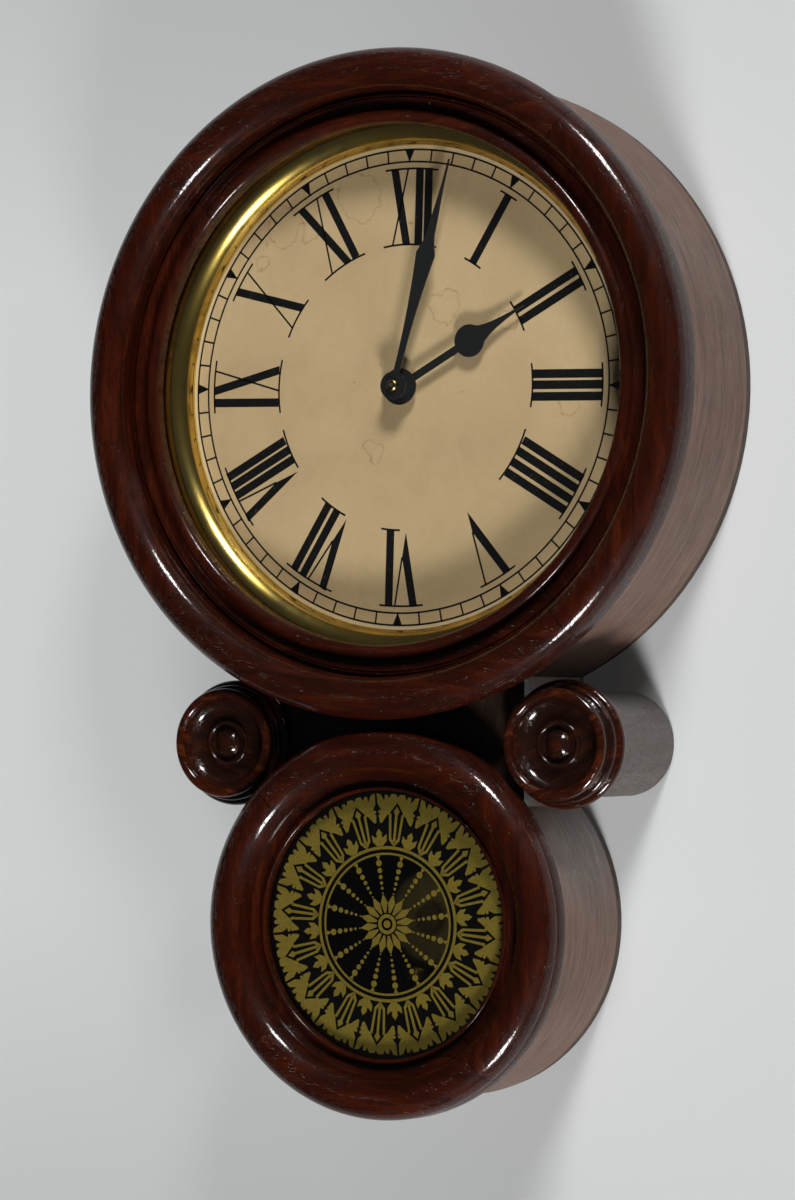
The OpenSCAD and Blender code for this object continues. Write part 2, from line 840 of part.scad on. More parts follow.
module train_plate() {
    color("silver") difference() {
        slab(plate_h[0], plate_h[1]) translate([plate_x[0], plate_z[0]])
            square([plate_x[1] - plate_x[0], plate_z[1] - plate_z[0]]);
        bar([0, 0], minute_shaft_r + slip, plate_h[0] - 1, plate_h[1] + 1);
        for (at = [third_at, seconds_at, step_at]) bar(at, arbor_r + slip, plate_h[0] - 1, plate_h[1] + 1);
        bar(rotor_at, fine_arbor_r + slip, plate_h[0] - 1, plate_h[1] + 1);
    }
}

module circuit_board() {
    color("green") slab(board_h[0], board_h[1]) translate([board_x[0], board_z[0]])
        square([board_x[1] - board_x[0], board_z[1] - board_z[0]]);
}

module stator() {
    color("silver") difference() {
        slab(stator_h[0], stator_h[1]) difference() {
            translate([stator_x[0], stator_z[0]])
                square([stator_x[1] - stator_x[0], stator_z[1] - stator_z[0]]);
            translate([stator_x[0] + stator_limb, stator_z[0] + 4])
                square([rotor_at[0] - 5.2 - stator_x[0] - stator_limb, stator_z[1] - stator_z[0] - 8]);
        }
        bar(rotor_at, rotor_magnet_r + 0.5, stator_h[0] - 1, stator_h[1] + 1);
    }
}

module motor_coil() {
    low = stator_z[0] + 4 + coil_margin;
    high = stator_z[1] - 4 - coil_margin;
    middle = [stator_x[0] + stator_limb / 2, (stator_h[0] + stator_h[1]) / 2];
    color("chocolate") difference() {
        translate([middle[0], -middle[1], low]) cylinder(r = 4.2, h = high - low);
        slab(stator_h[0] - fixed_gap, stator_h[1] + fixed_gap)
            translate([stator_x[0] - fixed_gap, low - 1])
            square([stator_limb + 2 * fixed_gap, high - low + 2]);
    }
}

module drive_coil() {
    color("chocolate") slab(magnet_h[0] - 1, magnet_h[0] + 4) translate([0, -magnet_drop])
        ring_plan(drive_coil_r, hanger_magnet_r - 0.5);
}

module battery_contacts() {
    near = battery_l / 2 + free_gap;
    color("silver") for (left = [-near - contact_t, near])
        slab(battery_height - contact_w / 2, battery_height + contact_w / 2)
            translate([left, battery_up - contact_w / 2]) square([contact_t, contact_w]);
}

module pendulum_pin() {
    color("silver") bar([0, -pivot_drop], pendulum_pin_r, cover_inner + 1, base_inner - 0.5);
}

// Wheels

// Six corners of one tooth, from root to tip and back
function tooth(teeth, module_mm, angle) = let (
    pitch_r = module_mm * teeth / 2,
    half = 90 / teeth * 0.8
) [for (corner = [[-1.2, -1.05], [-1, 0], [-0.5, 0.75], [0.5, 0.75], [1, 0], [1.2, -1.05]])
    polar(pitch_r + corner[1] * module_mm, angle + corner[0] * half)];

module gear(at, teeth, module_mm, heights, phase, bore = 0) {
    slab(heights[0], heights[1]) translate(at) difference() {
        polygon([for (i = [0:teeth - 1]) each tooth(teeth, module_mm, phase + i * 360 / teeth)]);
        if (bore > 0) circle(bore);
    }
}

// Phase that puts a second wheel's teeth between those of the first, seen along dir
function mesh(dir, phase, teeth, next_teeth) = dir + 180 + (180 - (phase - dir) * teeth) / next_teeth;

minute_wheel_phase = mesh(minute_wheel_dir, minute_wheel_dir, cannon_teeth, minute_wheel_teeth);

module minute_shaft() {
    color("silver") {
        bar([0, 0], minute_shaft_r, plate_h[0] + 0.3, minute_hand_height);
        bar([0, 0], minute_tip_r, minute_hand_height - 1, minute_hand_height + hand_t + nut_t + tip_l);
        gear([0, 0], cannon_teeth, motion_module, cannon_h, minute_wheel_dir);
    }
}

module minute_wheel() {
    color("ivory") {
        gear(minute_at, minute_wheel_teeth, motion_module, minute_wheel_h, minute_wheel_phase,
            stud_post_r + slip);
        gear(minute_at, minute_pinion_teeth, hour_module, [minute_wheel_h[1] - 0.2, minute_pinion_h[1]],
            mesh(minute_wheel_dir, minute_wheel_dir, hour_teeth, minute_pinion_teeth),
            stud_post_r + slip);
    }
}

module hour_wheel() {
    color("ivory") difference() {
        union() {
            gear([0, 0], hour_teeth, hour_module, hour_wheel_h, minute_wheel_dir);
            bar([0, 0], hour_pipe_r, hour_wheel_h[1] - 0.5, hour_pipe_front);
        }
        bar([0, 0], minute_shaft_r + slip, hour_wheel_h[0] - 1, hour_pipe_front + 1);
    }
}

module setting_knob() {
    pinion_phase = mesh(knob_dir, minute_wheel_phase, minute_wheel_teeth, cannon_teeth);
    color("dimgray") {
        bar(knob_at, knob_arbor_r, movement_back - 2, base_inner - 0.8);
        gear(knob_at, cannon_teeth, motion_module, cannon_h, pinion_phase);
        slab(movement_back - 5.5, movement_back - 0.6) translate(knob_at) circle(7, $fn = 12);
    }
}

module train_wheel(at, wheel, pinion, arbor) {
    gear(at, wheel[0], wheel[1], wheel[2], wheel[3]);
    gear(at, pinion[0], pinion[1], pinion[2], pinion[3]);
    bar(at, arbor[0], plate_h[0] + 0.3, arbor[1]);
    bar(at, 1.05, wheel[2][0], pinion[2][0] + 0.2);
}

module centre_wheel() {
    color("ivory") gear([0, 0], centre_teeth, train_module, centre_h, third_dir, minute_shaft_r + slip);
}

module third_wheel() {
    color("ivory") train_wheel(third_at,
        [third_teeth, train_module, third_h, seconds_dir],
        [third_pinion_teeth, train_module, third_pinion_h,
            mesh(third_dir, third_dir, centre_teeth, third_pinion_teeth)],
        [arbor_r, third_pinion_h[1] + 2.6]);
}

module seconds_wheel() {
    color("ivory") train_wheel(seconds_at,
        [seconds_teeth, step_module, seconds_h, step_dir],
        [seconds_pinion_teeth, train_module, seconds_pinion_h,
            mesh(seconds_dir, seconds_dir, third_teeth, seconds_pinion_teeth)],
        [arbor_r, seconds_pinion_h[1] + 2]);
}

module step_wheel() {
    color("ivory") train_wheel(step_at,
        [step_teeth, step_module, step_h, rotor_dir],
        [step_pinion_teeth, step_module, step_pinion_h,
            mesh(step_dir, step_dir, seconds_teeth, step_pinion_teeth)],
        [arbor_r, step_pinion_h[1] + 2]);
}

module rotor_pinion() {
    color("ivory") {
        gear(rotor_at, rotor_teeth, step_module, rotor_h,
            mesh(rotor_dir, rotor_dir, step_teeth, rotor_teeth));
        bar(rotor_at, fine_arbor_r, plate_h[0] + 0.3, rotor_h[1] + 2);
        bar(rotor_at, 1, magnet_h[1], rotor_h[0] + 0.2);
    }
}

module rotor_magnet() {
    color("dimgray") slab(magnet_h[0], magnet_h[1]) translate(rotor_at)
        ring_plan(rotor_magnet_r, fine_arbor_r + fixed_gap);
}

// Hands

function bezier(p, t) = let (u = 1 - t)
    u ^ 3 * p[0] + 3 * t * u ^ 2 * p[1] + 3 * t ^ 2 * u * p[2] + t ^ 3 * p[3];

// Mirror a half outline of [distance from axis, half width] into a whole blade
module blade(half_outline) {
    last = len(half_outline) - 1;
    polygon(concat([for (p = half_outline) [p[0], -p[1]]], [for (i = [last:-1:0]) half_outline[i]]));
}

// Slender shaft swelling to a shoulder, then a thin spear
module minute_hand_plan() {
    l = minute_hand_l;
    shoulder = [0.58 * l, 5.5];
    neck = [0.7 * l, 2.2];
    swell = [[5, 1.7], [0.28 * l, 1.6], [0.43 * l, 3.4], shoulder];
    hollow = [shoulder, [0.61 * l, 4.6], [0.635 * l, 2.3], neck];
    spear = [neck, [0.77 * l, 2], [0.81 * l, 0.7], [l, 0.35]];
    blade([for (part = [swell, hollow, spear], t = [0:0.125:0.9]) bezier(part, t), spear[3]]);
    circle(minute_boss_r);
}

// Straight shaft, a round drop and a hollow-sided point
module hour_hand_plan() {
    l = hour_hand_l;
    drop_r = 8.5;
    drop_at = 0.567 * l;
    leave = 50;
    start = [drop_at, 0] + polar(drop_r - 0.5, leave);
    point = [start, start + 5.5 * [sin(leave), -cos(leave)], [0.805 * l, 1.2], [l, 0.35]];
    blade([for (t = [0:0.1:1]) bezier(point, t)]);
    translate([drop_at, 0]) circle(drop_r);
    translate([0, -2]) square([drop_at, 4]);
    circle(hour_boss_r);
}

module minute_hand() {
    color("black") slab(minute_hand_height, minute_hand_height + hand_t) difference() {
        rotate(minute_angle) minute_hand_plan();
        circle(minute_tip_r + fixed_gap);
    }
}

module hour_hand() {
    color("black") slab(hour_hand_height, hour_hand_height + hand_t) difference() {
        rotate(hour_angle) hour_hand_plan();
        circle(hour_pipe_r + fixed_gap);
    }
}

module hour_collet() {
    color("goldenrod") slab(bush_front + 0.6, hour_hand_height)
        ring_plan(hour_boss_r - 1.2, hour_pipe_r + fixed_gap);
}

module hand_nut() {
    low = minute_hand_height + hand_t;
    bore = minute_tip_r + fixed_gap;
    color("goldenrod") turned() polygon([
        [bore, low], [3, low], [3, low + nut_t - 0.6], [2.3, low + nut_t], [bore, low + nut_t]
    ]);
}

// Pendulum

module pendulum_hanger() {
    mid = pendulum_height;
    color("ivory") difference() {
        union() {
            bar([0, -pivot_drop], hanger_hub_r, mid - 5, mid + 5);
            slab(mid - hanger_t / 2, mid + hanger_t / 2) translate([-hanger_w / 2, -hanger_end])
                square([hanger_w, hanger_end - pivot_drop]);
        }
        bar([0, -pivot_drop], pendulum_pin_r + slip, mid - 6, mid + 6);
        bar([0, -magnet_drop], hanger_magnet_r + fixed_gap, mid - 6, mid + 6);
        slab(mid - rod_t / 2 - fixed_gap, mid + rod_t / 2 + fixed_gap)
            translate([-rod_w / 2 - fixed_gap, -hanger_end - 1])
            square([rod_w + 2 * fixed_gap, hanger_end + 1 - hanger_slot]);
    }
}

module hanger_magnet() {
    color("silver") bar([0, -magnet_drop], hanger_magnet_r, pendulum_height - 2, pendulum_height + 2);
}

module pendulum_rod() {
    color("goldenrod") {
        slab(pendulum_height - rod_t / 2, pendulum_height + rod_t / 2)
            translate([-rod_w / 2, -rod_flat_end]) square([rod_w, rod_flat_end - hanger_slot - 0.1]);
        upright(0, pendulum_height, rod_r, -rod_end, -rod_flat_end + 1);
    }
}

// Lens-shaped bob, two shallow domes with a flat rim between them
module pendulum_bob() {
    bob_r = bob_d / 2;
    rise = (bob_t - bob_rim) / 2;
    dome_r = (bob_r ^ 2 + rise ^ 2) / (2 * rise);
    shift = dome_r - bob_t / 2;
    color("goldenrod") difference() {
        turned([0, -bob_drop]) translate([0, pendulum_height]) intersection() {
            translate([0, shift]) circle(dome_r, $fn = 180);
            translate([0, -shift]) circle(dome_r, $fn = 180);
            translate([0, -bob_t]) square([bob_r, 2 * bob_t]);
        }
        upright(0, pendulum_height, rod_r + slip, -bob_drop - bob_r - 1, -bob_drop + bob_r + 1);
    }
}

module rating_nut() {
    high = -bob_drop - bob_d / 2 - 0.4;
    color("goldenrod") difference() {
        upright(0, pendulum_height, rating_nut_r, high - rating_nut_l, high);
        upright(0, pendulum_height, rod_r + slip, high - rating_nut_l - 1, high + 1);
    }
}

module battery() {
    nub_l = 1.2;
    color("seagreen") translate([-battery_l / 2, -battery_height, battery_up]) rotate([0, 90, 0]) {
        cylinder(r = battery_r, h = battery_l - nub_l);
        cylinder(r = 2.7, h = battery_l);
    }
}

backboard();
upper_drum();
lower_drum();
waist_panel();
waist_cheeks();
columns();
rosettes();
dial_blocks();
dial_board();
dial_paper();
dial_screws();
sight_ring();
hanger_plate();
hinge_case_leaves();
case_screws();
catch_springs();
movement_base();
movement_cover();
movement_bush();
movement_nut();
movement_washer();
train_plate();
circuit_board();
motor_coil();
stator();
drive_coil();
battery_contacts();
pendulum_pin();
upper_bezel();
upper_glass();
upper_putty();
upper_door_leaf();
upper_door_screws();
upper_catch_stud();
lower_bezel();
tablet_glass();
lower_putty();
lower_door_leaf();
lower_door_screws();
lower_catch_stud();
minute_shaft();
minute_hand();
hand_nut();
hour_wheel();
hour_hand();
hour_collet();
minute_wheel();
setting_knob();
centre_wheel();
third_wheel();
seconds_wheel();
step_wheel();
rotor_pinion();
rotor_magnet();
pendulum_hanger();
hanger_magnet();
pendulum_rod();
pendulum_bob();
rating_nut();
battery();
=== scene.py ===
import json
import math

import bmesh
import bpy
from mathutils import Matrix, Vector


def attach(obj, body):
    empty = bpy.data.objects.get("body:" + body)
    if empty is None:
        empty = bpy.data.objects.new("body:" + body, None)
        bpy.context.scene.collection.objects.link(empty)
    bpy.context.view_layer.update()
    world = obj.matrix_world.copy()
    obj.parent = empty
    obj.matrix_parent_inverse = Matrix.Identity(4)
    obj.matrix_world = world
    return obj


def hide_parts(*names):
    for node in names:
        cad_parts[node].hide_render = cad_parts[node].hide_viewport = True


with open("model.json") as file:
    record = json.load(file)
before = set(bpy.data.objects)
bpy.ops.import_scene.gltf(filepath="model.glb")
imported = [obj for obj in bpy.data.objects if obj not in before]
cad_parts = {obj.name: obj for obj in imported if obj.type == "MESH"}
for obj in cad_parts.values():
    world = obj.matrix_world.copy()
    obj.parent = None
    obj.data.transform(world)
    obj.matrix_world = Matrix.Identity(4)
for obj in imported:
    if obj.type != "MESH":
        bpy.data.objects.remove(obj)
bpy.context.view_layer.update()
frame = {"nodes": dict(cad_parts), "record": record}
mm = 0.001
nodes = frame["nodes"]
print("frame loaded:", len(nodes), "parts")


# sizes shared with the case, in millimetres; heights are measured from the wall
clock = {
    "axisSpacing": 280,
    "drumFront": 83,
    "doorBack": 83.3,
    "glassSeat": 87.6,
    "boardFront": 6,
    "dialFace": 68,
    "upperRingR": 174.5,
    "upperOpeningR": 135.5,
    "upperDrumR": 168,
    "upperInnerR": 157,
    "lowerRingR": 101,
    "lowerOpeningR": 69.5,
    "lowerDrumR": 94.5,
    "lowerInnerR": 85,
    "upperSeams": (50, 138, 222.5, 310.75),
    "lowerSeams": (48, 135, 223, 309.5),
}
lowerAxis = (0, -clock["axisSpacing"])


# mesh helpers

# point at a radius and an angle in degrees
def polar(radius, angle):
    return radius * math.cos(math.radians(angle)), radius * math.sin(math.radians(angle))


def arc(centre, radius, startAngle, endAngle, steps=12):
    points = []
    for i in range(steps + 1):
        dx, dy = polar(radius, startAngle + (endAngle - startAngle) * i / steps)
        points.append((centre[0] + dx, centre[1] + dy))
    return points


# place in the frame of a point seen from the front, at a height in millimetres from the wall
def onWall(x, z, height):
    return Vector((x * mm, -height * mm, z * mm))


def addPiece(name, mesh, body, material, replaced=()):
    piece = bpy.data.objects.new(name, mesh)
    bpy.context.scene.collection.objects.link(piece)
    mesh.materials.clear()
    mesh.materials.append(material)
    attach(piece, body)
    if replaced:
        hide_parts(*replaced)
    return piece


def tidyMesh(mesh, sharpAngle=32):
    work = bmesh.new()
    work.from_mesh(mesh)
    bmesh.ops.remove_doubles(work, verts=work.verts, dist=1e-7)
    bmesh.ops.dissolve_degenerate(work, edges=work.edges, dist=1e-7)
    bmesh.ops.recalc_face_normals(work, faces=work.faces)
    work.to_mesh(mesh)
    work.free()
    mesh.polygons.foreach_set("use_smooth", [True] * len(mesh.polygons))
    mesh.set_sharp_from_angle(angle=math.radians(sharpAngle))
    return mesh


# turn a closed section of (radius, height) points about an axis that stands on the wall
def turnedMesh(name, section, axis=(0, 0), fromAngle=0, toAngle=360, steps=256):
    full = toAngle - fromAngle > 359.9
    rows = steps if full else steps + 1
    count = len(section)
    verts = []
    for i in range(rows):
        angle = fromAngle + (toAngle - fromAngle) * i / steps
        for radius, height in section:
            x, z = polar(radius, angle)
            verts.append(onWall(axis[0] + x, axis[1] + z, height))
    faces = []
    for i in range(steps):
        j = (i + 1) % rows
        for k in range(count):
            l = (k + 1) % count
            faces.append((i * count + k, j * count + k, j * count + l, i * count + l))
    if not full:
        faces.append(tuple(range(count)))
        faces.append(tuple(range((rows - 1) * count, rows * count)))
    mesh = bpy.data.meshes.new(name)
    mesh.from_pydata(verts, [], faces)
    return tidyMesh(mesh)


# grain coordinates that run along the wood: straight boards, or bent round an axis
def storeGrain(mesh, axis=(0, 0), boardAngle=None, shift=0.0):
    attribute = mesh.attributes.new("grain", "FLOAT_VECTOR", "CORNER")
    values = []
    for face in mesh.polygons:
        centre = face.center
        middle = math.atan2(centre.z - axis[1] * mm, centre.x - axis[0] * mm)
        for index in face.vertices:
            point = mesh.vertices[index].co
            x = point.x - axis[0] * mm
            z = point.z - axis[1] * mm
            if boardAngle is None:
                radius = math.hypot(x, z)
                turn = math.atan2(z, x) if radius > 1e-6 else middle
                turn += 2 * math.pi * round((middle - turn) / (2 * math.pi))
                values.extend((turn * radius + shift, radius, -point.y))
            else:
                ca = math.cos(boardAngle)
                sa = math.sin(boardAngle)
                values.extend((z * ca - x * sa + shift, x * ca + z * sa + shift, -point.y))
    attribute.data.foreach_set("vector", values)
    return mesh


# flat closed outlines, drawn as seen from the front, made into thin solids
def flatMesh(name, outlines, height, thickness=0.04, centre=(0, 0)):
    work = bmesh.new()
    for outline in outlines:
        front = [work.verts.new(onWall(centre[0] + x, centre[1] + z, height)) for x, z in outline]
        face = work.faces.new(front)
        made = bmesh.ops.extrude_face_region(work, geom=[face])
        moved = [item for item in made["geom"] if isinstance(item, bmesh.types.BMVert)]
        bmesh.ops.translate(work, verts=moved, vec=(0, thickness * mm, 0))
    bmesh.ops.recalc_face_normals(work, faces=work.faces)
    mesh = bpy.data.meshes.new(name)
    work.to_mesh(mesh)
    work.free()
    return mesh


def ringOutlineMesh(name, outerR, innerR, height, axis=(0, 0)):
    back = height - 0.04
    return turnedMesh(name, [(innerR, height), (outerR, height), (outerR, back), (innerR, back)], axis)


# node helpers

def addNode(tree, kind, inputs=None, **settings):
    made = tree.nodes.new(kind)
    for key, value in settings.items():
        setattr(made, key, value)
    for key, value in (inputs or {}).items():
        if isinstance(value, bpy.types.NodeSocket):
            tree.links.new(value, made.inputs[key])
        else:
            made.inputs[key].default_value = value
    return made


def newMaterial(name, **shaderInputs):
    material = bpy.data.materials.new(name)
    material.use_nodes = True
    tree = material.node_tree
    tree.nodes.clear()
    shader = addNode(tree, "ShaderNodeBsdfPrincipled", shaderInputs)
    addNode(tree, "ShaderNodeOutputMaterial", {0: shader.outputs[0]})
    return material, tree, shader


# put another shader in the place of the material's own
def showInstead(tree, shaderOutput):
    output = [item for item in tree.nodes if item.type == "OUTPUT_MATERIAL"][0]
    tree.links.new(shaderOutput, output.inputs[0])


def setShader(shader, values):
    for key, value in values.items():
        shader.inputs[key].default_value = value


# distance from the y axis of an object's own coordinates, and the flat place it is measured in
def aroundAxis(tree, place):
    parts = addNode(tree, "ShaderNodeSeparateXYZ", {0: place}).outputs
    flat = addNode(tree, "ShaderNodeCombineXYZ", {0: parts[0], 2: parts[2]}).outputs[0]
    return flat, addNode(tree, "ShaderNodeVectorMath", {0: flat}, operation="LENGTH").outputs[1]


def objectPlace(tree, scale=(1, 1, 1), shift=(0, 0, 0)):
    place = addNode(tree, "ShaderNodeTexCoord").outputs["Object"]
    return addNode(tree, "ShaderNodeMapping", {"Vector": place, "Scale": scale, "Location": shift}).outputs[0]


def grainPlace(tree, scale=(1, 1, 1)):
    place = addNode(tree, "ShaderNodeAttribute", attribute_name="grain").outputs["Vector"]
    return addNode(tree, "ShaderNodeMapping", {"Vector": place, "Scale": scale}).outputs[0]


def noise(tree, place, scale, detail=3.0, roughness=0.5, distortion=0.0):
    inputs = {"Vector": place, "Scale": scale, "Detail": detail, "Roughness": roughness}
    inputs["Distortion"] = distortion
    return addNode(tree, "ShaderNodeTexNoise", inputs).outputs["Fac"]


def ramp(tree, value, stops):
    made = addNode(tree, "ShaderNodeValToRGB", {"Fac": value})
    points = made.color_ramp.elements
    while len(points) < len(stops):
        points.new(0.5)
    for point, (position, colour) in zip(points, stops):
        point.position = position
        point.color = (*colour, 1)
    return made.outputs[0]


def remap(tree, value, low, high, outLow=0.0, outHigh=1.0):
    inputs = {0: value, 1: low, 2: high, 3: outLow, 4: outHigh}
    return addNode(tree, "ShaderNodeMapRange", inputs).outputs[0]


def calc(tree, operation, first, second=0.0, third=0.0):
    return addNode(tree, "ShaderNodeMath", {0: first, 1: second, 2: third}, operation=operation).outputs[0]


# output 0 is a vector, 1 a number
def vectorCalc(tree, operation, first, second, output=0):
    return addNode(tree, "ShaderNodeVectorMath", {0: first, 1: second}, operation=operation).outputs[output]


def mixColour(tree, factor, first, second):
    made = addNode(tree, "ShaderNodeMix", {0: factor}, data_type="RGBA")
    for index, value in ((6, first), (7, second)):
        if isinstance(value, bpy.types.NodeSocket):
            tree.links.new(value, made.inputs[index])
        else:
            made.inputs[index].default_value = (*value, 1)
    return made.outputs[2]


def addBump(tree, shader, height, distance, strength=1.0, coatToo=False):
    bump = addNode(tree, "ShaderNodeBump", {"Height": height, "Distance": distance, "Strength": strength})
    tree.links.new(bump.outputs[0], shader.inputs["Normal"])
    if coatToo:
        tree.links.new(bump.outputs[0], shader.inputs["Coat Normal"])


# dark, broken lines along the glue joints of both rings, where the wood has opened a little
def openJoints(tree):
    place = objectPlace(tree)
    wander = remap(tree, noise(tree, place, 160, 4, 0.7), 0.3, 0.7, -0.0009, 0.0009)
    mask = 0.0
    for axis, angles in (((0, 0), clock["upperSeams"]), (lowerAxis, clock["lowerSeams"])):
        fromAxis = vectorCalc(tree, "SUBTRACT", place, onWall(*axis, 0))
        for angle in angles:
            x, z = polar(1, angle)
            outward = vectorCalc(tree, "DOT_PRODUCT", fromAxis, (x, 0, z), 1)
            aside = vectorCalc(tree, "DOT_PRODUCT", fromAxis, (-z, 0, x), 1)
            offLine = calc(tree, "ABSOLUTE", calc(tree, "ADD", aside, wander))
            line = remap(tree, offLine, 0.0002, 0.00055, 1, 0)
            line = calc(tree, "MULTIPLY", line, calc(tree, "GREATER_THAN", outward, 0.0))
            mask = calc(tree, "MAXIMUM", mask, line)
    broken = remap(tree, noise(tree, place, 70, 2), 0.42, 0.52)
    return calc(tree, "MULTIPLY", mask, broken)


# one material for every wooden surface; look holds its colours, grain and finish, how strongly painted shade
# darkens the dish of a rosette and in what colour, and in "joints" how dark the glue joints show
def woodMaterial(name, look):
    material, tree, shader = newMaterial(name)
    if "objectStretch" in look:
        place = objectPlace(tree, look["objectStretch"])
    else:
        place = grainPlace(tree, look["stretch"])
    figure = noise(tree, place, look["figureScale"], 5, 0.6, 0.6)
    pores = noise(tree, place, look["poreScale"], 2, 0.5)
    tone = noise(tree, objectPlace(tree), 9, 3, 0.6)
    colour = ramp(tree, figure, [(0.3, look["dark"]), (0.52, look["middle"]), (0.74, look["light"])])
    poreMask = remap(tree, pores, look["poreEdge"], look["poreEdge"] + 0.07)
    colour = mixColour(tree, calc(tree, "MULTIPLY", poreMask, look["poreDark"]), colour, look["poreColour"])
    colour = mixColour(tree, remap(tree, tone, 0.35, 0.7, 0, look["toneMix"]), colour, look["dark"])
    if "joints" in look:
        colour = mixColour(tree, calc(tree, "MULTIPLY", openJoints(tree), look["joints"]), colour,
                           look["poreColour"])
    # painted shade: the rosette's dish, about 82 to 87 mm from the wall, is darkened towards the shade colour
    if "paintedDishShade" in look:
        depth = addNode(tree, "ShaderNodeSeparateXYZ", {0: objectPlace(tree)}).outputs[1]
        below = remap(tree, depth, -0.0876, -0.0868, 0, look["paintedDishShade"])
        paintedDishShadeMask = calc(tree, "MULTIPLY", below, remap(tree, depth, -0.082, -0.081, 1, 0))
        colour = mixColour(tree, paintedDishShadeMask, colour, look["paintedDishShadeColour"])
    tree.links.new(colour, shader.inputs["Base Color"])
    smudge = noise(tree, objectPlace(tree), 38, 4, 0.7)
    rough = remap(tree, smudge, 0.3, 0.75, look["roughness"] - 0.05, look["roughness"] + 0.1)
    rough = calc(tree, "MULTIPLY_ADD", poreMask, 0.15, rough)
    tree.links.new(rough, shader.inputs["Roughness"])
    setShader(shader, {
        "Specular IOR Level": look["gloss"],
        "Coat Weight": look["coat"],
        "Coat Roughness": look["coatRoughness"],
        "Coat IOR": look["coatIor"],
    })
    waves = noise(tree, objectPlace(tree), 55, 2)
    fine = calc(tree, "MULTIPLY", noise(tree, objectPlace(tree), 800, 2), look["fine"])
    height = calc(tree, "MULTIPLY_ADD", waves, look["waves"], fine)
    height = calc(tree, "MULTIPLY_ADD", poreMask, -look["poreDepth"], height)
    addBump(tree, shader, height, 0.0004, 0.8, True)
    return material


# materials of the case

ringLook = {
    "stretch": (20, 150, 150),
    "figureScale": 1.0,
    "poreScale": 10,
    "poreEdge": 0.57,
    "poreDark": 0.7,
    "poreColour": (0.006, 0.0015, 0.001),
    "dark": (0.011, 0.0019, 0.0006),
    "middle": (0.027, 0.0036, 0.0009),
    "light": (0.056, 0.0088, 0.0018),
    "toneMix": 0.45,
    "gloss": 0.04,
    "roughness": 0.42,
    "coat": 0.9,
    "coatRoughness": 0.085,
    "coatIor": 1.33,
    "poreDepth": 0.4,
    "waves": 0.4,
    "fine": 0.14,
    "joints": 0.95,
}
rosetteLook = dict(ringLook)
rosetteLook.update({
    "joints": 0.0,
    "stretch": (40, 260, 260),
    "dark": (0.009, 0.002, 0.001),
    "middle": (0.03, 0.005, 0.0012),
    "light": (0.1, 0.021, 0.0035),
    "toneMix": 0.6,
    # painted shade in the rosette's dish: how strong, and its colour
    "paintedDishShade": 0.65,
    "paintedDishShadeColour": (0.006, 0.003, 0.0022),
    "gloss": 0.015,
    "roughness": 0.55,
    "coatRoughness": 0.05,
    "coatIor": 1.45,
    "waves": 0.05,
    "fine": 0.03,
    "poreDepth": 0.05,
})
drumLook = {
    "stretch": (7, 330, 330),
    "figureScale": 1.0,
    "poreScale": 8,
    "poreEdge": 0.55,
    "poreDark": 0.65,
    "poreColour": (0.036, 0.019, 0.013),
    "dark": (0.08, 0.037, 0.022),
    "middle": (0.128, 0.066, 0.042),
    "light": (0.18, 0.1, 0.068),
    "toneMix": 0.35,
    "gloss": 0.4,
    "roughness": 0.46,
    "coat": 0.06,
    "coatRoughness": 0.3,
    "coatIor": 1.4,
    "poreDepth": 0.8,
    "waves": 0.3,
    "fine": 0.1,
}
columnLook = dict(drumLook)
columnLook.update({
    "objectStretch": (190, 30, 190),
    "poreDark": 0.3,
    "poreColour": (0.03, 0.02, 0.016),
    "dark": (0.054, 0.038, 0.032),
    "middle": (0.076, 0.06, 0.053),
    "light": (0.102, 0.085, 0.078),
})
panelLook = dict(drumLook)
panelLook.update({
    "objectStretch": (120, 120, 10),
    "poreColour": (0.003, 0.002, 0.001),
    "dark": (0.014, 0.007, 0.0045),
    "middle": (0.026, 0.013, 0.008),
    "light": (0.045, 0.024, 0.015),
    "roughness": 0.4,
    "coat": 0.25,
})
backLook = dict(drumLook)
backLook.update({
    "objectStretch": (60, 60, 6),
    "dark": (0.03, 0.019, 0.012),
    "middle": (0.055, 0.036, 0.022),
    "light": (0.085, 0.058, 0.037),
    "roughness": 0.7,
    "coat": 0.0,
})

ringWood = woodMaterial("ringMahogany", ringLook)
rosetteWood = woodMaterial("rosetteMahogany", rosetteLook)
drumWood = woodMaterial("drumMahogany", drumLook)
columnWood = woodMaterial("columnWood", columnLook)
panelWood = woodMaterial("waistPanelWood", panelLook)
backWood = woodMaterial("backboardWood", backLook)


# brass; look["lines"] is the depth of polishing lines that run round the hand axis
def brassMaterial(name, look):
    material, tree, shader = newMaterial(name, Metallic=1.0)
    place = objectPlace(tree)
    patches = noise(tree, place, look["patchScale"], 5, 0.65, 0.8)
    specks = noise(tree, place, 620, 2, 0.6)
    colour = ramp(tree, patches, [(0.3, look["dark"]), (0.5, look["middle"]), (0.72, look["light"])])
    spots = remap(tree, specks, 0.76, 0.8)
    colour = mixColour(tree, calc(tree, "MULTIPLY", spots, look["spots"]), colour, (0.06, 0.03, 0.008))
    tree.links.new(colour, shader.inputs["Base Color"])
    rough = remap(tree, patches, 0.3, 0.7, look["roughness"] + 0.1, look["roughness"] - 0.02)
    tree.links.new(rough, shader.inputs["Roughness"])
    depth = addNode(tree, "ShaderNodeSeparateXYZ", {0: place}).outputs[1]
    section = addNode(tree, "ShaderNodeCombineXYZ", {0: aroundAxis(tree, place)[1], 1: depth}).outputs[0]
    lines = calc(tree, "MULTIPLY", noise(tree, section, 260, 1), look["lines"])
    height = calc(tree, "MULTIPLY_ADD", noise(tree, place, 60, 1), look["dents"], lines)
    addBump(tree, shader, height, 0.0001, 1.0)
    return material


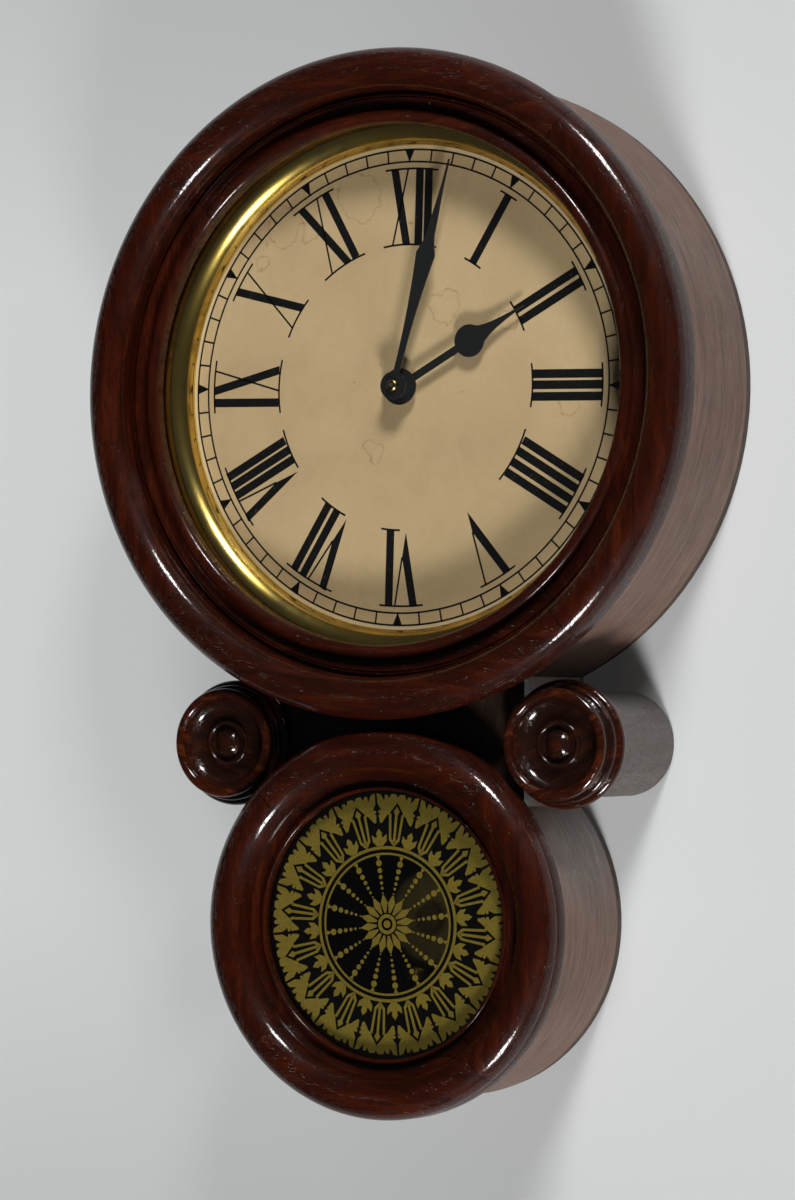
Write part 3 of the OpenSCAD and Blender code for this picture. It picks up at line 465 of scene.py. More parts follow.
agedBrassLook = {
    "patchScale": 22,
    "dark": (0.36, 0.25, 0.045),
    "middle": (0.76, 0.53, 0.13),
    "light": (0.88, 0.65, 0.22),
    "spots": 0.8,
    "roughness": 0.17,
    "lines": 0.12,
    "dents": 0.8,
}
plainBrassLook = dict(agedBrassLook)
plainBrassLook.update({
    "patchScale": 60,
    "dark": (0.45, 0.31, 0.11),
    "middle": (0.6, 0.43, 0.16),
    "light": (0.7, 0.52, 0.22),
    "spots": 0.3,
    "roughness": 0.24,
})
nutBrassLook = dict(agedBrassLook)
nutBrassLook.update({
    "patchScale": 300,
    "dark": (0.05, 0.036, 0.014),
    "middle": (0.16, 0.115, 0.045),
    "light": (0.4, 0.3, 0.13),
    "roughness": 0.3,
})
agedBrass = brassMaterial("sightRingBrass", agedBrassLook)
plainBrass = brassMaterial("fittingBrass", plainBrassLook)
nutBrass = brassMaterial("handNutBrass", nutBrassLook)


# turned rings, in four glued quarters each

rings = {
    "roundR": 11,
    "beadR": 1.6,
    "lipR": 3.5,
    "thinBeadR": 1.1,
    "valley": 88.5,
    "roundHeight": 96.5,
    "lowerDrop": 4,
    "glueLine": 0.25,
    "rebate": 5.7,
}


# bead and groove behind the large round, from the back of the door to the round's widest line
def bandPoints(edgeR, roundR, roundH):
    back = clock["doorBack"]
    chamfer = 0.7
    beadWidth = 1.8
    grooveR = edgeR - 2.6
    rise = roundH - back - 2.2
    points = [(edgeR - chamfer, back)]
    for i in range(9):
        outward, up = polar(1, 90 * i / 8)
        points.append((edgeR - beadWidth + beadWidth * outward, back + chamfer + rise * up))
    return points + [(grooveR, roundH - 1.4), (grooveR, roundH - 0.4), (roundR - 0.3, roundH - 0.2)]


# inner moulding of the upper ring: bead, hollow and lip
def deepMoulding(openingR, roundC):
    valley = rings["valley"]
    lipR = rings["lipR"]
    beadX = roundC - rings["roundR"] - 2
    room = beadX - openingR - 2 * lipR
    hollowR = 0.85 * room
    hollowC = (beadX - room / 2 + 0.3, valley + 2.7 + hollowR)
    reach = math.degrees(math.asin((hollowC[0] - (openingR + 2 * lipR)) / hollowR))
    points = [(roundC - 10.35, valley + 0.2), (roundC - 10.9, valley + 0.1)]
    points += arc((beadX, valley + 1.2), rings["beadR"], -10, 160, 10)
    points += arc(hollowC, hollowR, -68, -90 - reach, 14)
    return points + arc((openingR + lipR, valley + 7.5 - lipR), lipR, 4, 180, 16)


# inner moulding of the lower ring: a shallow cove that ends in a thin bead
def shallowMoulding(openingR, roundC):
    beadC = (openingR + rings["thinBeadR"], rings["valley"] + 3)
    coveR = 9
    coveC = ((roundC - 10.8 + openingR + 2.2) / 2, rings["valley"] + 1.4 + coveR)
    return arc(coveC, coveR, -67, -113, 10) + arc(beadC, rings["thinBeadR"], 5, 180, 10)


# section of a ring; the round's arc ends where the moulding inside it begins
def ringSection(outerR, openingR, edgeR, drop, arcEnd, moulding):
    widest = outerR - 0.3
    roundC = widest - rings["roundR"]
    roundH = rings["roundHeight"] - drop
    rebateR = openingR + rings["rebate"]
    points = [(rebateR, clock["doorBack"])] + bandPoints(edgeR, widest, roundH)
    points += arc((roundC, roundH), rings["roundR"], 1, arcEnd, 44)
    points += moulding(openingR, roundC)
    return points + [(openingR, clock["glassSeat"]), (rebateR, clock["glassSeat"])]


def turnedRing(prefix, section, outerR, axis, seams, body, replaced):
    halfLine = math.degrees(rings["glueLine"] / 2 / outerR)
    joined = bpy.data.meshes.new(prefix + "Ring")
    work = bmesh.new()
    for i in range(4):
        start = seams[i] + halfLine
        end = seams[(i + 1) % 4] + (360 if i == 3 else 0) - halfLine
        quarter = turnedMesh("quarter", section, axis, start, end, 84)
        board = 0.37 * i + (0.11 if prefix == "lower" else 0)
        storeGrain(quarter, axis, math.radians((start + end) / 2), board)
        work.from_mesh(quarter)
        bpy.data.meshes.remove(quarter)
    work.to_mesh(joined)
    work.free()
    joined.set_sharp_from_angle(angle=math.radians(32))
    return addPiece(prefix + "Ring", joined, body, ringWood, replaced)


upperR = clock["upperRingR"]
lowerR = clock["lowerRingR"]
upperSection = ringSection(upperR, clock["upperOpeningR"], upperR - 2, 0, 196, deepMoulding)
lowerSection = ringSection(lowerR, clock["lowerOpeningR"], lowerR, rings["lowerDrop"], 189, shallowMoulding)
turnedRing("upper", upperSection, upperR, (0, 0), clock["upperSeams"], "upper_door", ["upper_bezel"])
turnedRing("lower", lowerSection, lowerR, lowerAxis, clock["lowerSeams"], "lower_door", ["lower_bezel"])
print("rings turned")


# material for every part that keeps its own shape, by the record's slot

def plasticMaterial(name, colour, roughness, speck=0.15):
    material, tree, shader = newMaterial(name)
    place = objectPlace(tree)
    grainy = noise(tree, place, 700, 3, 0.6)
    clouds = noise(tree, place, 30, 3)
    darker = tuple(level * 0.75 for level in colour)
    tree.links.new(mixColour(tree, clouds, darker, colour), shader.inputs["Base Color"])
    rough = remap(tree, grainy, 0.3, 0.7, roughness - 0.06, roughness + 0.08)
    tree.links.new(rough, shader.inputs["Roughness"])
    addBump(tree, shader, grainy, 0.0001, speck)
    return material


def metalMaterial(name, colour, roughness):
    material, tree, shader = newMaterial(name, Metallic=1.0)
    place = objectPlace(tree, (1, 1, 14))
    lines = noise(tree, place, 160, 4, 0.7)
    darker = tuple(level * 0.7 for level in colour)
    tree.links.new(mixColour(tree, lines, darker, colour), shader.inputs["Base Color"])
    tree.links.new(remap(tree, lines, 0.3, 0.7, roughness, roughness + 0.15), shader.inputs["Roughness"])
    addBump(tree, shader, lines, 0.0001, 0.3)
    return material


# clear panes let light and reflected rays through, so that what lies behind them is lit; only a ray that
# is bent by the glass itself, or comes straight from the eye, meets it as glass
def paneMaterial(name, tint):
    material, tree, shader = newMaterial(name)
    place = objectPlace(tree)
    setShader(shader, {"Base Color": (*tint, 1), "Transmission Weight": 1.0, "IOR": 1.45})
    dust = noise(tree, place, 45, 5, 0.7)
    tree.links.new(remap(tree, dust, 0.45, 0.8, 0.0, 0.05), shader.inputs["Roughness"])
    addBump(tree, shader, noise(tree, place, 9, 2), 0.0003, 0.12)
    clear = addNode(tree, "ShaderNodeBsdfTransparent", {"Color": (*tint, 1)})
    ray = addNode(tree, "ShaderNodeLightPath").outputs
    lighting = calc(tree, "MAXIMUM", ray["Is Shadow Ray"], ray["Is Diffuse Ray"])
    mirrored = calc(tree, "SUBTRACT", ray["Is Glossy Ray"], ray["Is Transmission Ray"])
    lighting = calc(tree, "MAXIMUM", lighting, mirrored)
    mix = addNode(tree, "ShaderNodeMixShader", {0: lighting, 1: shader.outputs[0], 2: clear.outputs[0]})
    showInstead(tree, mix.outputs[0])
    return material


dialLook = {
    "dark": (0.415, 0.29, 0.162),
    "middle": (0.48, 0.342, 0.193),
    "light": (0.515, 0.372, 0.213),
    "mottle": (0.31, 0.215, 0.11),
    "stain": (0.2, 0.1, 0.035),
    # paler band just inside the sight ring: a painted highlight
    "paintedEdgeHighlight": (0.52, 0.45, 0.34),
    "foxing": (0.16, 0.09, 0.04),
    "ink": (0.005, 0.005, 0.0055),
    "wornInk": (0.12, 0.09, 0.05),
}
# damp rings on the paper: x and z from the hand axis, and radius, in millimetres
stains = [(-27, 102, 12.5), (-73, 88, 10.5), (-57, 84, 4.5), (-85, 69, 3), (24, 41, 8), (61, 32, 4.5),
          (-17, -33, 5), (96, -12, 6)]


def dialPaperMaterial():
    material, tree, shader = newMaterial("agedDialPaper", **{"Specular IOR Level": 0.25})
    place = objectPlace(tree)
    mottle = noise(tree, place, 420, 4, 0.7)
    clouds = noise(tree, place, 16, 4, 0.6, 0.5)
    stops = [(0.3, dialLook["dark"]), (0.55, dialLook["middle"]), (0.8, dialLook["light"])]
    colour = ramp(tree, clouds, stops)
    colour = mixColour(tree, remap(tree, mottle, 0.35, 0.75, 0, 0.2), colour, dialLook["mottle"])
    flat, fromAxis = aroundAxis(tree, place)
    wander = remap(tree, noise(tree, place, 150, 3, 0.55), 0.3, 0.7, -0.003, 0.003)
    for x, z, radius in stains:
        away = vectorCalc(tree, "DISTANCE", flat, onWall(x, z, 0), 1)
        offLine = calc(tree, "ABSOLUTE", calc(tree, "SUBTRACT", calc(tree, "ADD", away, wander), radius * mm))
        line = remap(tree, offLine, 0.00015, 0.0007, 0.42, 0)
        colour = mixColour(tree, line, colour, dialLook["stain"])
    # painted highlight: a paler band on the paper from about 125.2 mm out to the sight ring, for light caught
    # at the ring's edge
    paintedEdgeHighlight = remap(tree, fromAxis, 0.1252, 0.1256, 0, 0.55)
    colour = mixColour(tree, paintedEdgeHighlight, colour, dialLook["paintedEdgeHighlight"])
    foxing = remap(tree, noise(tree, place, 120, 2), 0.76, 0.8, 0, 0.5)
    colour = mixColour(tree, foxing, colour, dialLook["foxing"])
    tree.links.new(colour, shader.inputs["Base Color"])
    tree.links.new(remap(tree, mottle, 0.3, 0.7, 0.5, 0.66), shader.inputs["Roughness"])
    addBump(tree, shader, mottle, 0.0001, 0.25)
    return material


def inkMaterial(name, colour, paper, wear):
    material, tree, shader = newMaterial(name, **{"Specular IOR Level": 0.08})
    place = objectPlace(tree)
    fade = noise(tree, place, 520, 4, 0.75)
    worn = remap(tree, fade, 0.62, 0.72, 0, wear)
    tree.links.new(mixColour(tree, worn, colour, paper), shader.inputs["Base Color"])
    tree.links.new(remap(tree, fade, 0.3, 0.7, 0.42, 0.6), shader.inputs["Roughness"])
    return material


bob = {"radius": 30, "thick": 9, "rim": 2, "z": -276, "height": 52}
bobLook = {
    "dark": (0.6, 0.42, 0.12),
    "light": (0.82, 0.62, 0.22),
    "marks": (0.25, 0.16, 0.04),
    "roughLow": 0.13,
    "roughHigh": 0.22,
    "anisotropic": 0.85,
}


# concentric tool marks of a spun disc, centred on the bob
def spunBrassMaterial():
    material, tree, shader = newMaterial("spunBobBrass", Metallic=1.0)
    place = objectPlace(tree, shift=(0, 0, -bob["z"] * mm))
    flat, radius = aroundAxis(tree, place)
    marks = noise(tree, addNode(tree, "ShaderNodeCombineXYZ", {0: radius}).outputs[0], 2600, 3, 0.7)
    patches = noise(tree, place, 40, 4)
    colour = ramp(tree, patches, [(0.3, bobLook["dark"]), (0.7, bobLook["light"])])
    colour = mixColour(tree, remap(tree, marks, 0.3, 0.7, 0, 0.12), colour, bobLook["marks"])
    tree.links.new(colour, shader.inputs["Base Color"])
    rough = remap(tree, marks, 0.3, 0.7, bobLook["roughLow"], bobLook["roughHigh"])
    tree.links.new(rough, shader.inputs["Roughness"])
    around = vectorCalc(tree, "CROSS_PRODUCT", flat, (0, 1, 0))
    turned = addNode(tree, "ShaderNodeVectorTransform", {0: around}, vector_type="VECTOR",
                     convert_from="OBJECT", convert_to="WORLD")
    tree.links.new(turned.outputs[0], shader.inputs["Tangent"])
    shader.inputs["Anisotropic"].default_value = bobLook["anisotropic"]
    addBump(tree, shader, marks, 0.00002, 0.3)
    return material


glassClear = paneMaterial("clearGlass", (0.96, 0.97, 0.95))
dialPaper = dialPaperMaterial()
dialInk = inkMaterial("dialInk", dialLook["ink"], dialLook["wornInk"], 0.5)
slotMaterials = {
    "case_wood": drumWood,
    "ring_wood": ringWood,
    "dark_veneer": panelWood,
    "back_wood": backWood,
    "dial_paper": dialPaper,
    "clear_glass": glassClear,
    "tablet_glass": glassClear,
    "putty": plasticMaterial("oldPutty", (0.16, 0.12, 0.085), 0.8, 0.6),
    "brass": plainBrass,
    "aged_brass": agedBrass,
    "black_plastic": plasticMaterial("movementPlastic", (0.02, 0.02, 0.021), 0.45),
    "rubber": plasticMaterial("rubberWasher", (0.03, 0.03, 0.03), 0.8, 0.3),
    "circuit": plasticMaterial("circuitBoard", (0.03, 0.18, 0.07), 0.4),
    "copper_wire": metalMaterial("coilWire", (0.6, 0.22, 0.09), 0.3),
    "steel": metalMaterial("turnedSteel", (0.55, 0.54, 0.52), 0.25),
    "magnet": metalMaterial("platedMagnet", (0.6, 0.6, 0.6), 0.15),
    "hand_black": plasticMaterial("blackedHand", (0.011, 0.011, 0.012), 0.34, 0.3),
    "wheel_plastic": plasticMaterial("wheelNylon", (0.72, 0.7, 0.62), 0.4),
    "battery_jacket": plasticMaterial("batteryJacket", (0.03, 0.16, 0.09), 0.3),
}
for part in frame["record"]["subparts"]:
    mesh = nodes[part["node"]].data
    mesh.materials.clear()
    mesh.materials.append(slotMaterials[part["material_slot"]])
nodes["hand_nut"].data.materials[0] = nutBrass
print("slot materials given")


# drums, columns and rosettes, turned with their grain

def turnedDrum(name, outerR, innerR, axis, replaced):
    back = clock["boardFront"]
    front = clock["drumFront"]
    section = [(innerR, back), (outerR - 0.4, back), (outerR, back + 0.5), (outerR, front - 0.8),
               (outerR - 0.7, front), (innerR, front)]
    mesh = turnedMesh(name, section, axis, steps=288)
    storeGrain(mesh, axis)
    return addPiece(name, mesh, "case", drumWood, replaced)


turnedDrum("upperDrumSide", clock["upperDrumR"], clock["upperInnerR"], (0, 0), ["upper_drum"])
turnedDrum("lowerDrumSide", clock["lowerDrumR"], clock["lowerInnerR"], lowerAxis, ["lower_drum"])

rosette = {"base": 72, "radius": 33.2, "front": 91, "x": 96.963, "z": -186.5}
column = {"back": 0.5, "radius": 27.5, "edge": 0.4}


def rosetteSection():
    base = rosette["base"]
    outer = rosette["radius"]
    rim = rosette["front"] - 2.6
    dishR = 7.8
    dish = (outer - 17.7, base + 18.64)
    well = dish[1] - 7.07
    button = (0, well - 5)
    points = [(0, base), (outer - 1.2, base)]
    points += arc((outer - 3, base + 3), 3, -60, 75, 10)
    points += [(outer - 3.1, base + 6.3), (outer - 3.4, base + 7)]
    points += arc((outer - 4.6, base + 8.4), 2, -35, 80, 8)
    points += [(outer - 5.2, base + 10.5), (outer - 6, base + 11.2), (outer - 6, base + 13.8)]
    points += arc((outer - 7, rim), 2.6, -55, 205, 22)
    points += arc(dish, dishR, -28, -112, 14)
    points += arc((dish[0] - 4.4, well + 0.3), 1.1, 15, 180, 8)
    points += [(dish[0] - 5.6, well - 0.9), (7.3, well - 1)]
    points += arc(button, 9, 37, 90, 12)
    return points


def columnSection():
    radius = column["radius"]
    edge = column["edge"]
    back = column["back"]
    front = rosette["base"]
    return [(0, back), (radius - edge, back), (radius, back + edge), (radius, front - edge),
            (radius - edge, front), (0, front)]


for side, sideName in ((-1, "left"), (1, "right")):
    at = (side * rosette["x"], rosette["z"])
    mesh = turnedMesh(sideName + "Column", columnSection(), at, steps=128)
    addPiece(sideName + "Column", mesh, "case", columnWood, ["columns"])
    mesh = turnedMesh(sideName + "Rosette", rosetteSection(), at, steps=160)
    storeGrain(mesh, at, math.radians(70 if side < 0 else 115), side * 0.5)
    addPiece(sideName + "Rosette", mesh, "case", rosetteWood, ["rosettes"])
print("drums, columns and rosettes turned")


# sight ring around the dial

sight = {"innerR": 127, "roundR": 11.2, "tail": 3.8, "thick": 0.8}


# quarter round that stands on the paper and ends just past its crown
def sightSection():
    centre = (sight["innerR"] + sight["roundR"], clock["dialFace"])
    hollowR = sight["roundR"] - sight["thick"]
    outerEnd = math.degrees(math.acos(sight["tail"] / sight["roundR"]))
    innerEnd = math.degrees(math.acos(sight["tail"] / hollowR))
    return arc(centre, sight["roundR"], 180, outerEnd, 36) + arc(centre, hollowR, innerEnd, 180, 30)


mesh = turnedMesh("brassSightRing", sightSection(), steps=288)
addPiece("brassSightRing", mesh, "case", agedBrass, ["sight_ring"])
print("sight ring spun")


# Geometry Nodes: copies of one flat shape set round an axis

def makeAroundTree():
    tree = bpy.data.node_groups.new("shapesAround", "GeometryNodeTree")
    face = tree.interface
    face.new_socket("Geometry", in_out="INPUT", socket_type="NodeSocketGeometry")
    face.new_socket("Shape", in_out="INPUT", socket_type="NodeSocketObject")
    face.new_socket("Count", in_out="INPUT", socket_type="NodeSocketInt")
    face.new_socket("First Angle", in_out="INPUT", socket_type="NodeSocketFloat")
    face.new_socket("Centre", in_out="INPUT", socket_type="NodeSocketVector")
    face.new_socket("Material", in_out="INPUT", socket_type="NodeSocketMaterial")
    face.new_socket("Geometry", in_out="OUTPUT", socket_type="NodeSocketGeometry")
    given = addNode(tree, "NodeGroupInput").outputs
    points = addNode(tree, "GeometryNodeMeshLine", {"Count": given["Count"], "Offset": (0, 0, 0)})
    placed = addNode(tree, "GeometryNodeSetPosition", {"Geometry": points.outputs[0]})
    tree.links.new(given["Centre"], placed.inputs["Position"])
    index = addNode(tree, "GeometryNodeInputIndex").outputs[0]
    step = calc(tree, "DIVIDE", 2 * math.pi, given["Count"])
    turn = calc(tree, "MULTIPLY_ADD", index, step, given["First Angle"])
    rotation = addNode(tree, "ShaderNodeCombineXYZ", {1: turn}).outputs[0]
    shape = addNode(tree, "GeometryNodeObjectInfo", {"Object": given["Shape"]})
    copies = addNode(tree, "GeometryNodeInstanceOnPoints", {"Points": placed.outputs[0]})
    tree.links.new(shape.outputs["Geometry"], copies.inputs["Instance"])
    tree.links.new(rotation, copies.inputs["Rotation"])
    solid = addNode(tree, "GeometryNodeRealizeInstances", {0: copies.outputs[0]})
    painted = addNode(tree, "GeometryNodeSetMaterial", {"Geometry": solid.outputs[0]})
    tree.links.new(given["Material"], painted.inputs["Material"])
    output = addNode(tree, "NodeGroupOutput")
    tree.links.new(painted.outputs[0], output.inputs[0])
    return tree


aroundTree = makeAroundTree()


# the shape is drawn upright about the origin; returns a plain mesh of all its copies
def setAround(name, shapeMesh, count, firstAngle, centre, material):
    shape = bpy.data.objects.new(name + "Shape", shapeMesh)
    carrier = bpy.data.objects.new(name + "Carrier", bpy.data.meshes.new(name + "Carrier"))
    bpy.context.scene.collection.objects.link(shape)
    bpy.context.scene.collection.objects.link(carrier)
    modifier = carrier.modifiers.new("around", "NODES")
    modifier.node_group = aroundTree
    values = {
        "Shape": shape,
        "Count": count,
        "First Angle": math.radians(firstAngle),
        "Centre": (centre[0] * mm, 0, centre[1] * mm),
        "Material": material,
    }
    for item in aroundTree.interface.items_tree:
        if item.in_out == "INPUT" and item.name in values:
            modifier[item.identifier] = values[item.name]
    graph = bpy.context.evaluated_depsgraph_get()
    mesh = bpy.data.meshes.new_from_object(carrier.evaluated_get(graph))
    bpy.data.objects.remove(carrier)
    bpy.data.objects.remove(shape)
    mesh.name = name
    return mesh


def joinMeshes(name, meshes):
    work = bmesh.new()
    for mesh in meshes:
        work.from_mesh(mesh)
        bpy.data.meshes.remove(mesh)
    joined = bpy.data.meshes.new(name)
    work.to_mesh(joined)
    work.free()
    return joined


# printing on the dial: minute track, five-minute marks and numerals

dialPrint = {
    "turn": -1.6,
    "trackOuter": 124.8,
    "trackInner": 118.4,
    "line": 0.95,
    "markWidth": 5.6,
    "numeralOuter": 114.8,
    "numeralInner": 75,
    "thick": 4.5,
    "thin": 1.0,
    "serifOver": 3.3,
    "height": 68.05,
}
# places along the rim, clockwise from each numeral's middle: upright bars; the middle of a cross
# and its half width; a wedge's thick top, thin top and tip
numerals = [
    {"cross": (-4.6, 4.0), "bars": (6.3, 11.6)},
    {"bars": (1.2,)},
    {"bars": (-2.0, 4.4)},
    {"bars": (-6.2, -0.5, 5.5)},
    {"bars": (-11.1, -4.9, 1.5, 7.8)},
    {"wedge": (-6.8, 7.2, -1.4)},
    {"wedge": (-9.1, 1.9, -3.6), "bars": (5.5,)},
    {"wedge": (-13.9, -3.7, -7.1), "bars": (0.2, 6.3)},
    {"wedge": (-13.6, -3.4, -7.3), "bars": (0.0, 5.6, 11.2)},
    {"bars": (-7.5,), "cross": (4.3, 5.5)},
    {"cross": (0.0, 6.0)},
    {"cross": (-2.7, 5.5), "bars": (8.2,)},
]


def stroke(x0, z0, x1, z1, width):
    half = width / 2
    return [(x0 - half, z0), (x0 + half, z0), (x1 + half, z1), (x1 - half, z1)]


def barOutline(x):
    return stroke(x, dialPrint["numeralInner"], x, dialPrint["numeralOuter"], dialPrint["thick"])


def crossOutlines(middle, half):
    top = dialPrint["numeralOuter"]
    foot = dialPrint["numeralInner"]
    return [
        stroke(middle + half, foot, middle - half, top, dialPrint["thick"]),
        stroke(middle - half, foot, middle + half, top, dialPrint["thin"]),
    ]


# the thick stroke keeps its width until the thin stroke cuts it to a point
def wedgeOutlines(thickTop, thinTop, tip):
    top = dialPrint["numeralOuter"]
    foot = dialPrint["numeralInner"] + 1
    half = dialPrint["thick"] / 2
    thickLean = (tip - thickTop + half) / (top - foot)
    thinLean = (tip - thinTop) / (top - foot)
    drop = (thinTop - thickTop - half) / (thickLean - thinLean)
    meet = (thinTop + thinLean * drop, top - drop)
    thick = [(tip, foot), meet, (thickTop + half, top), (thickTop - half, top)]
    return [thick, stroke(meet[0], meet[1], thinTop, top, dialPrint["thin"])]


def numeralOutlines(parts):
    half = dialPrint["thick"] / 2
    over = dialPrint["serifOver"]
    outlines = [barOutline(x) for x in parts.get("bars", ())]
    feet = [x + end for x in parts.get("bars", ()) for end in (-half, half)]
    tops = []
    if "cross" in parts:
        middle, reach = parts["cross"]
        outlines += crossOutlines(middle, reach)
        feet += [middle - reach - half, middle + reach + half]
    if "wedge" in parts:
        outlines += wedgeOutlines(*parts["wedge"])
        tops = [parts["wedge"][0] - half, parts["wedge"][1]]
    tops += feet
    top = dialPrint["numeralOuter"]
    outlines.append(serif(min(tops) - over, max(tops) + over, top, dialPrint["thin"]))
    if feet:
        foot = dialPrint["numeralInner"]
        outlines.append(serif(min(feet) - over, max(feet) + over, foot, dialPrint["thin"]))
    return outlines


# thin line that follows a circle about the dial's centre
def serif(fromX, toX, radius, width):
    start = 90 - math.degrees(fromX / radius)
    end = 90 - math.degrees(toX / radius)
    return arc((0, 0), radius - width / 2, start, end, 6) + arc((0, 0), radius + width / 2, end, start, 6)


def turnedOutline(outline, angle):
    turn = Matrix.Rotation(math.radians(angle), 2)
    return [tuple(turn @ Vector(point)) for point in outline]


def buildDialPrint():
    height = dialPrint["height"]
    line = dialPrint["line"]
    outer = dialPrint["trackOuter"]
    inner = dialPrint["trackInner"]
    parts = [
        ringOutlineMesh("trackOuterLine", outer + line / 2, outer - line / 2, height),
        ringOutlineMesh("trackInnerLine", inner + line / 2, inner - line / 2, height),
    ]
    first = -dialPrint["turn"]
    tick = flatMesh("minuteTick", [stroke(0, inner, 0, outer, line)], height)
    parts.append(setAround("minuteTicks", tick, 60, first, (0, 0), dialInk))
    half = dialPrint["markWidth"] / 2
    mark = flatMesh("hourMark", [[(0, inner - 0.3), (half, outer), (-half, outer)]], height)
    parts.append(setAround("hourMarks", mark, 12, first, (0, 0), dialInk))
    outlines = []
    for hour, strokes in enumerate(numerals):
        for outline in numeralOutlines(strokes):
            outlines.append(turnedOutline(outline, -30 * hour + dialPrint["turn"]))
    parts.append(flatMesh("numerals", outlines, height))
    return addPiece("dialPrint", joinMeshes("dialPrint", parts), "case", dialInk)


buildDialPrint()
print("dial printed")


# painted tablet: gold ornament and black ground on the back of the lower glass

tablet = {
    "gold": 85.53,
    "black": 85.47,
    "spokeTurn": 8.7,
    "leafTurn": 5.8,
    "thinRing": (35.9, 37.0),
    "wideRing": (38.8, 40.4),
    "hubRing": (3.3, 5.2),
    "dotR": 2.0,
    "groundInner": 36.4,
    "groundOuter": 74.8,
}


def paintMaterial(name, colour, dark, speckle):
    material, tree, shader = newMaterial(name, **{"Specular IOR Level": 0.01})
    place = objectPlace(tree)
    fine = noise(tree, place, 1500, 2, 0.6)
    worn = noise(tree, place, 60, 5, 0.7)
    shade = mixColour(tree, remap(tree, fine, 0.35, 0.7, 0, speckle), colour, dark)
    shade = mixColour(tree, remap(tree, worn, 0.55, 0.8, 0, 0.35), shade, dark)
    tree.links.new(shade, shader.inputs["Base Color"])
    tree.links.new(remap(tree, worn, 0.3, 0.7, 0.4, 0.6), shader.inputs["Roughness"])
    return material


goldPaint = paintMaterial("stencilGold", (0.15, 0.108, 0.017), (0.06, 0.043, 0.008), 0.6)
blackPaint = paintMaterial("tabletBlack", (0.0012, 0.0011, 0.001), (0.003, 0.0027, 0.0025), 0.4)


def circleOutline(x, z, radius, steps=24):
    return arc((x, z), radius, 0, 360 * (steps - 1) / steps, steps - 1)


def mirrored(outline):
    return [(-x, z) for x, z in reversed(outline)]


def spokeOutlines():
    kite = [(-0.55, 6), (0.55, 6), (2.0, 11.2), (0.35, 15.2), (-0.35, 15.2), (-2.0, 11.2)]
    outlines = [kite]
    for radius, size in ((16.1, 0.45), (18.8, 0.75), (21.5, 0.9), (24.6, 1.1), (28.0, 1.35), (31.9, 1.65)):
        outlines.append(circleOutline(0, radius, size))
    outlines.append([(-0.35, 33.4), (0.35, 33.4), (0.6, 34.6), (1.5, 36.1), (-1.5, 36.1), (-0.6, 34.6)])
    return outlines


# three-lobed leaf standing on the wide ring
def palmetteOutline():
    half = [(1.4, 40.2), (4.1, 43.1), (4.4, 46.5), (2.1, 44.9), (1.4, 45.4), (1.7, 47.3)]
    return half + [(0, 49.6)] + mirrored(half)


def arrowOutlines():
    rail = [(0.1, 40.3), (3.1, 43.6), (4.3, 56.9), (3.0, 57.2), (1.9, 44.6), (0.1, 42.6)]
    shaft = [(-0.7, 42.4), (0.7, 42.4), (0.7, 56.8), (1.75, 58.5), (0, 61.2), (-1.75, 58.5), (-0.7, 56.8)]
    return [rail, mirrored(rail), shaft]


# jagged leaf on the right of the line between two arrows: along the rim, down the arrow, back up the line
def leafOutline():
    return [
        (0.6, 67.9), (2.9, 67.2), (4.7, 63.6), (5.4, 66.8), (7.0, 66.5), (7.5, 64.6), (9.3, 66.9),
        (12.0, 66.3), (12.8, 64.6), (12.25, 61.9), (7.9, 57.9), (6.9, 56.1), (5.8, 56.4), (2.2, 52.5),
        (1.1, 52.6), (0.7, 56.8), (2.1, 57.2), (0.7, 57.8), (0.7, 58.9), (2.5, 59.3), (0.75, 62.3),
    ]


def buildTablet():
    height = tablet["gold"]
    leaves = [leafOutline(), mirrored(leafOutline())]
    groups = [
        ("tabletSpokes", spokeOutlines(), tablet["spokeTurn"]),
        ("tabletPalmettes", [palmetteOutline()], tablet["leafTurn"]),
        ("tabletArrows", arrowOutlines(), tablet["leafTurn"] + 11.25),
        ("tabletLeaves", leaves, tablet["leafTurn"]),
    ]
    parts = []
    for name, outlines, turn in groups:
        shape = flatMesh(name, outlines, height)
        parts.append(setAround(name, shape, 16, -turn, lowerAxis, goldPaint))
    for inner, outer in (tablet["thinRing"], tablet["wideRing"], tablet["hubRing"]):
        parts.append(ringOutlineMesh("tabletRing", outer, inner, height, axis=lowerAxis))
    dot = circleOutline(0, 0, tablet["dotR"], 40)
    parts.append(flatMesh("tabletDot", [dot], height, centre=lowerAxis))
    gold = joinMeshes("tabletGold", parts)
    addPiece("tabletGold", gold, "lower_door", goldPaint)
    ground = ringOutlineMesh("tabletGround", tablet["groundOuter"], tablet["groundInner"], tablet["black"],
                             axis=lowerAxis)
    addPiece("tabletGround", ground, "lower_door", blackPaint)


buildTablet()
print("tablet painted")


# pendulum bob

# lens-shaped disc, thinnest at its rim
def bobSection():
    rise = (bob["thick"] - bob["rim"]) / 2
    domeR = (bob["radius"] ** 2 + rise ** 2) / (2 * rise)
    reach = math.degrees(math.asin(bob["radius"] / domeR))
    front = arc((0, bob["height"] + bob["thick"] / 2 - domeR), domeR, 90, 90 - reach, 24)
    back = arc((0, bob["height"] - bob["thick"] / 2 + domeR), domeR, -90 + reach, -90, 24)
    return front + back


mesh = turnedMesh("brassBob", bobSection(), (0, bob["z"]), steps=160)
addPiece("brassBob", mesh, "bob", spunBrassMaterial(), ["pendulum_bob"])
print("bob spun")


# stage: the pale wall that the clock hangs on

# on the left the wall shows mostly as a plain pale backdrop, so that the shadows there stay as light as
# they are in the photo; on the right they are left deep
# the wall's colours hold painted light and shade: lighter on the left, darker on the right, and darker
# towards the top and bottom ends
wallLook = {
    "left": (0.655, 0.67, 0.67),
    "right": (0.47, 0.48, 0.48),
    "ends": (0.44, 0.45, 0.45),
    "backdrop": 0.93,
    "leftShare": 0.7,
    "rightShare": 0.03,
    "behind": 0.0008,
}


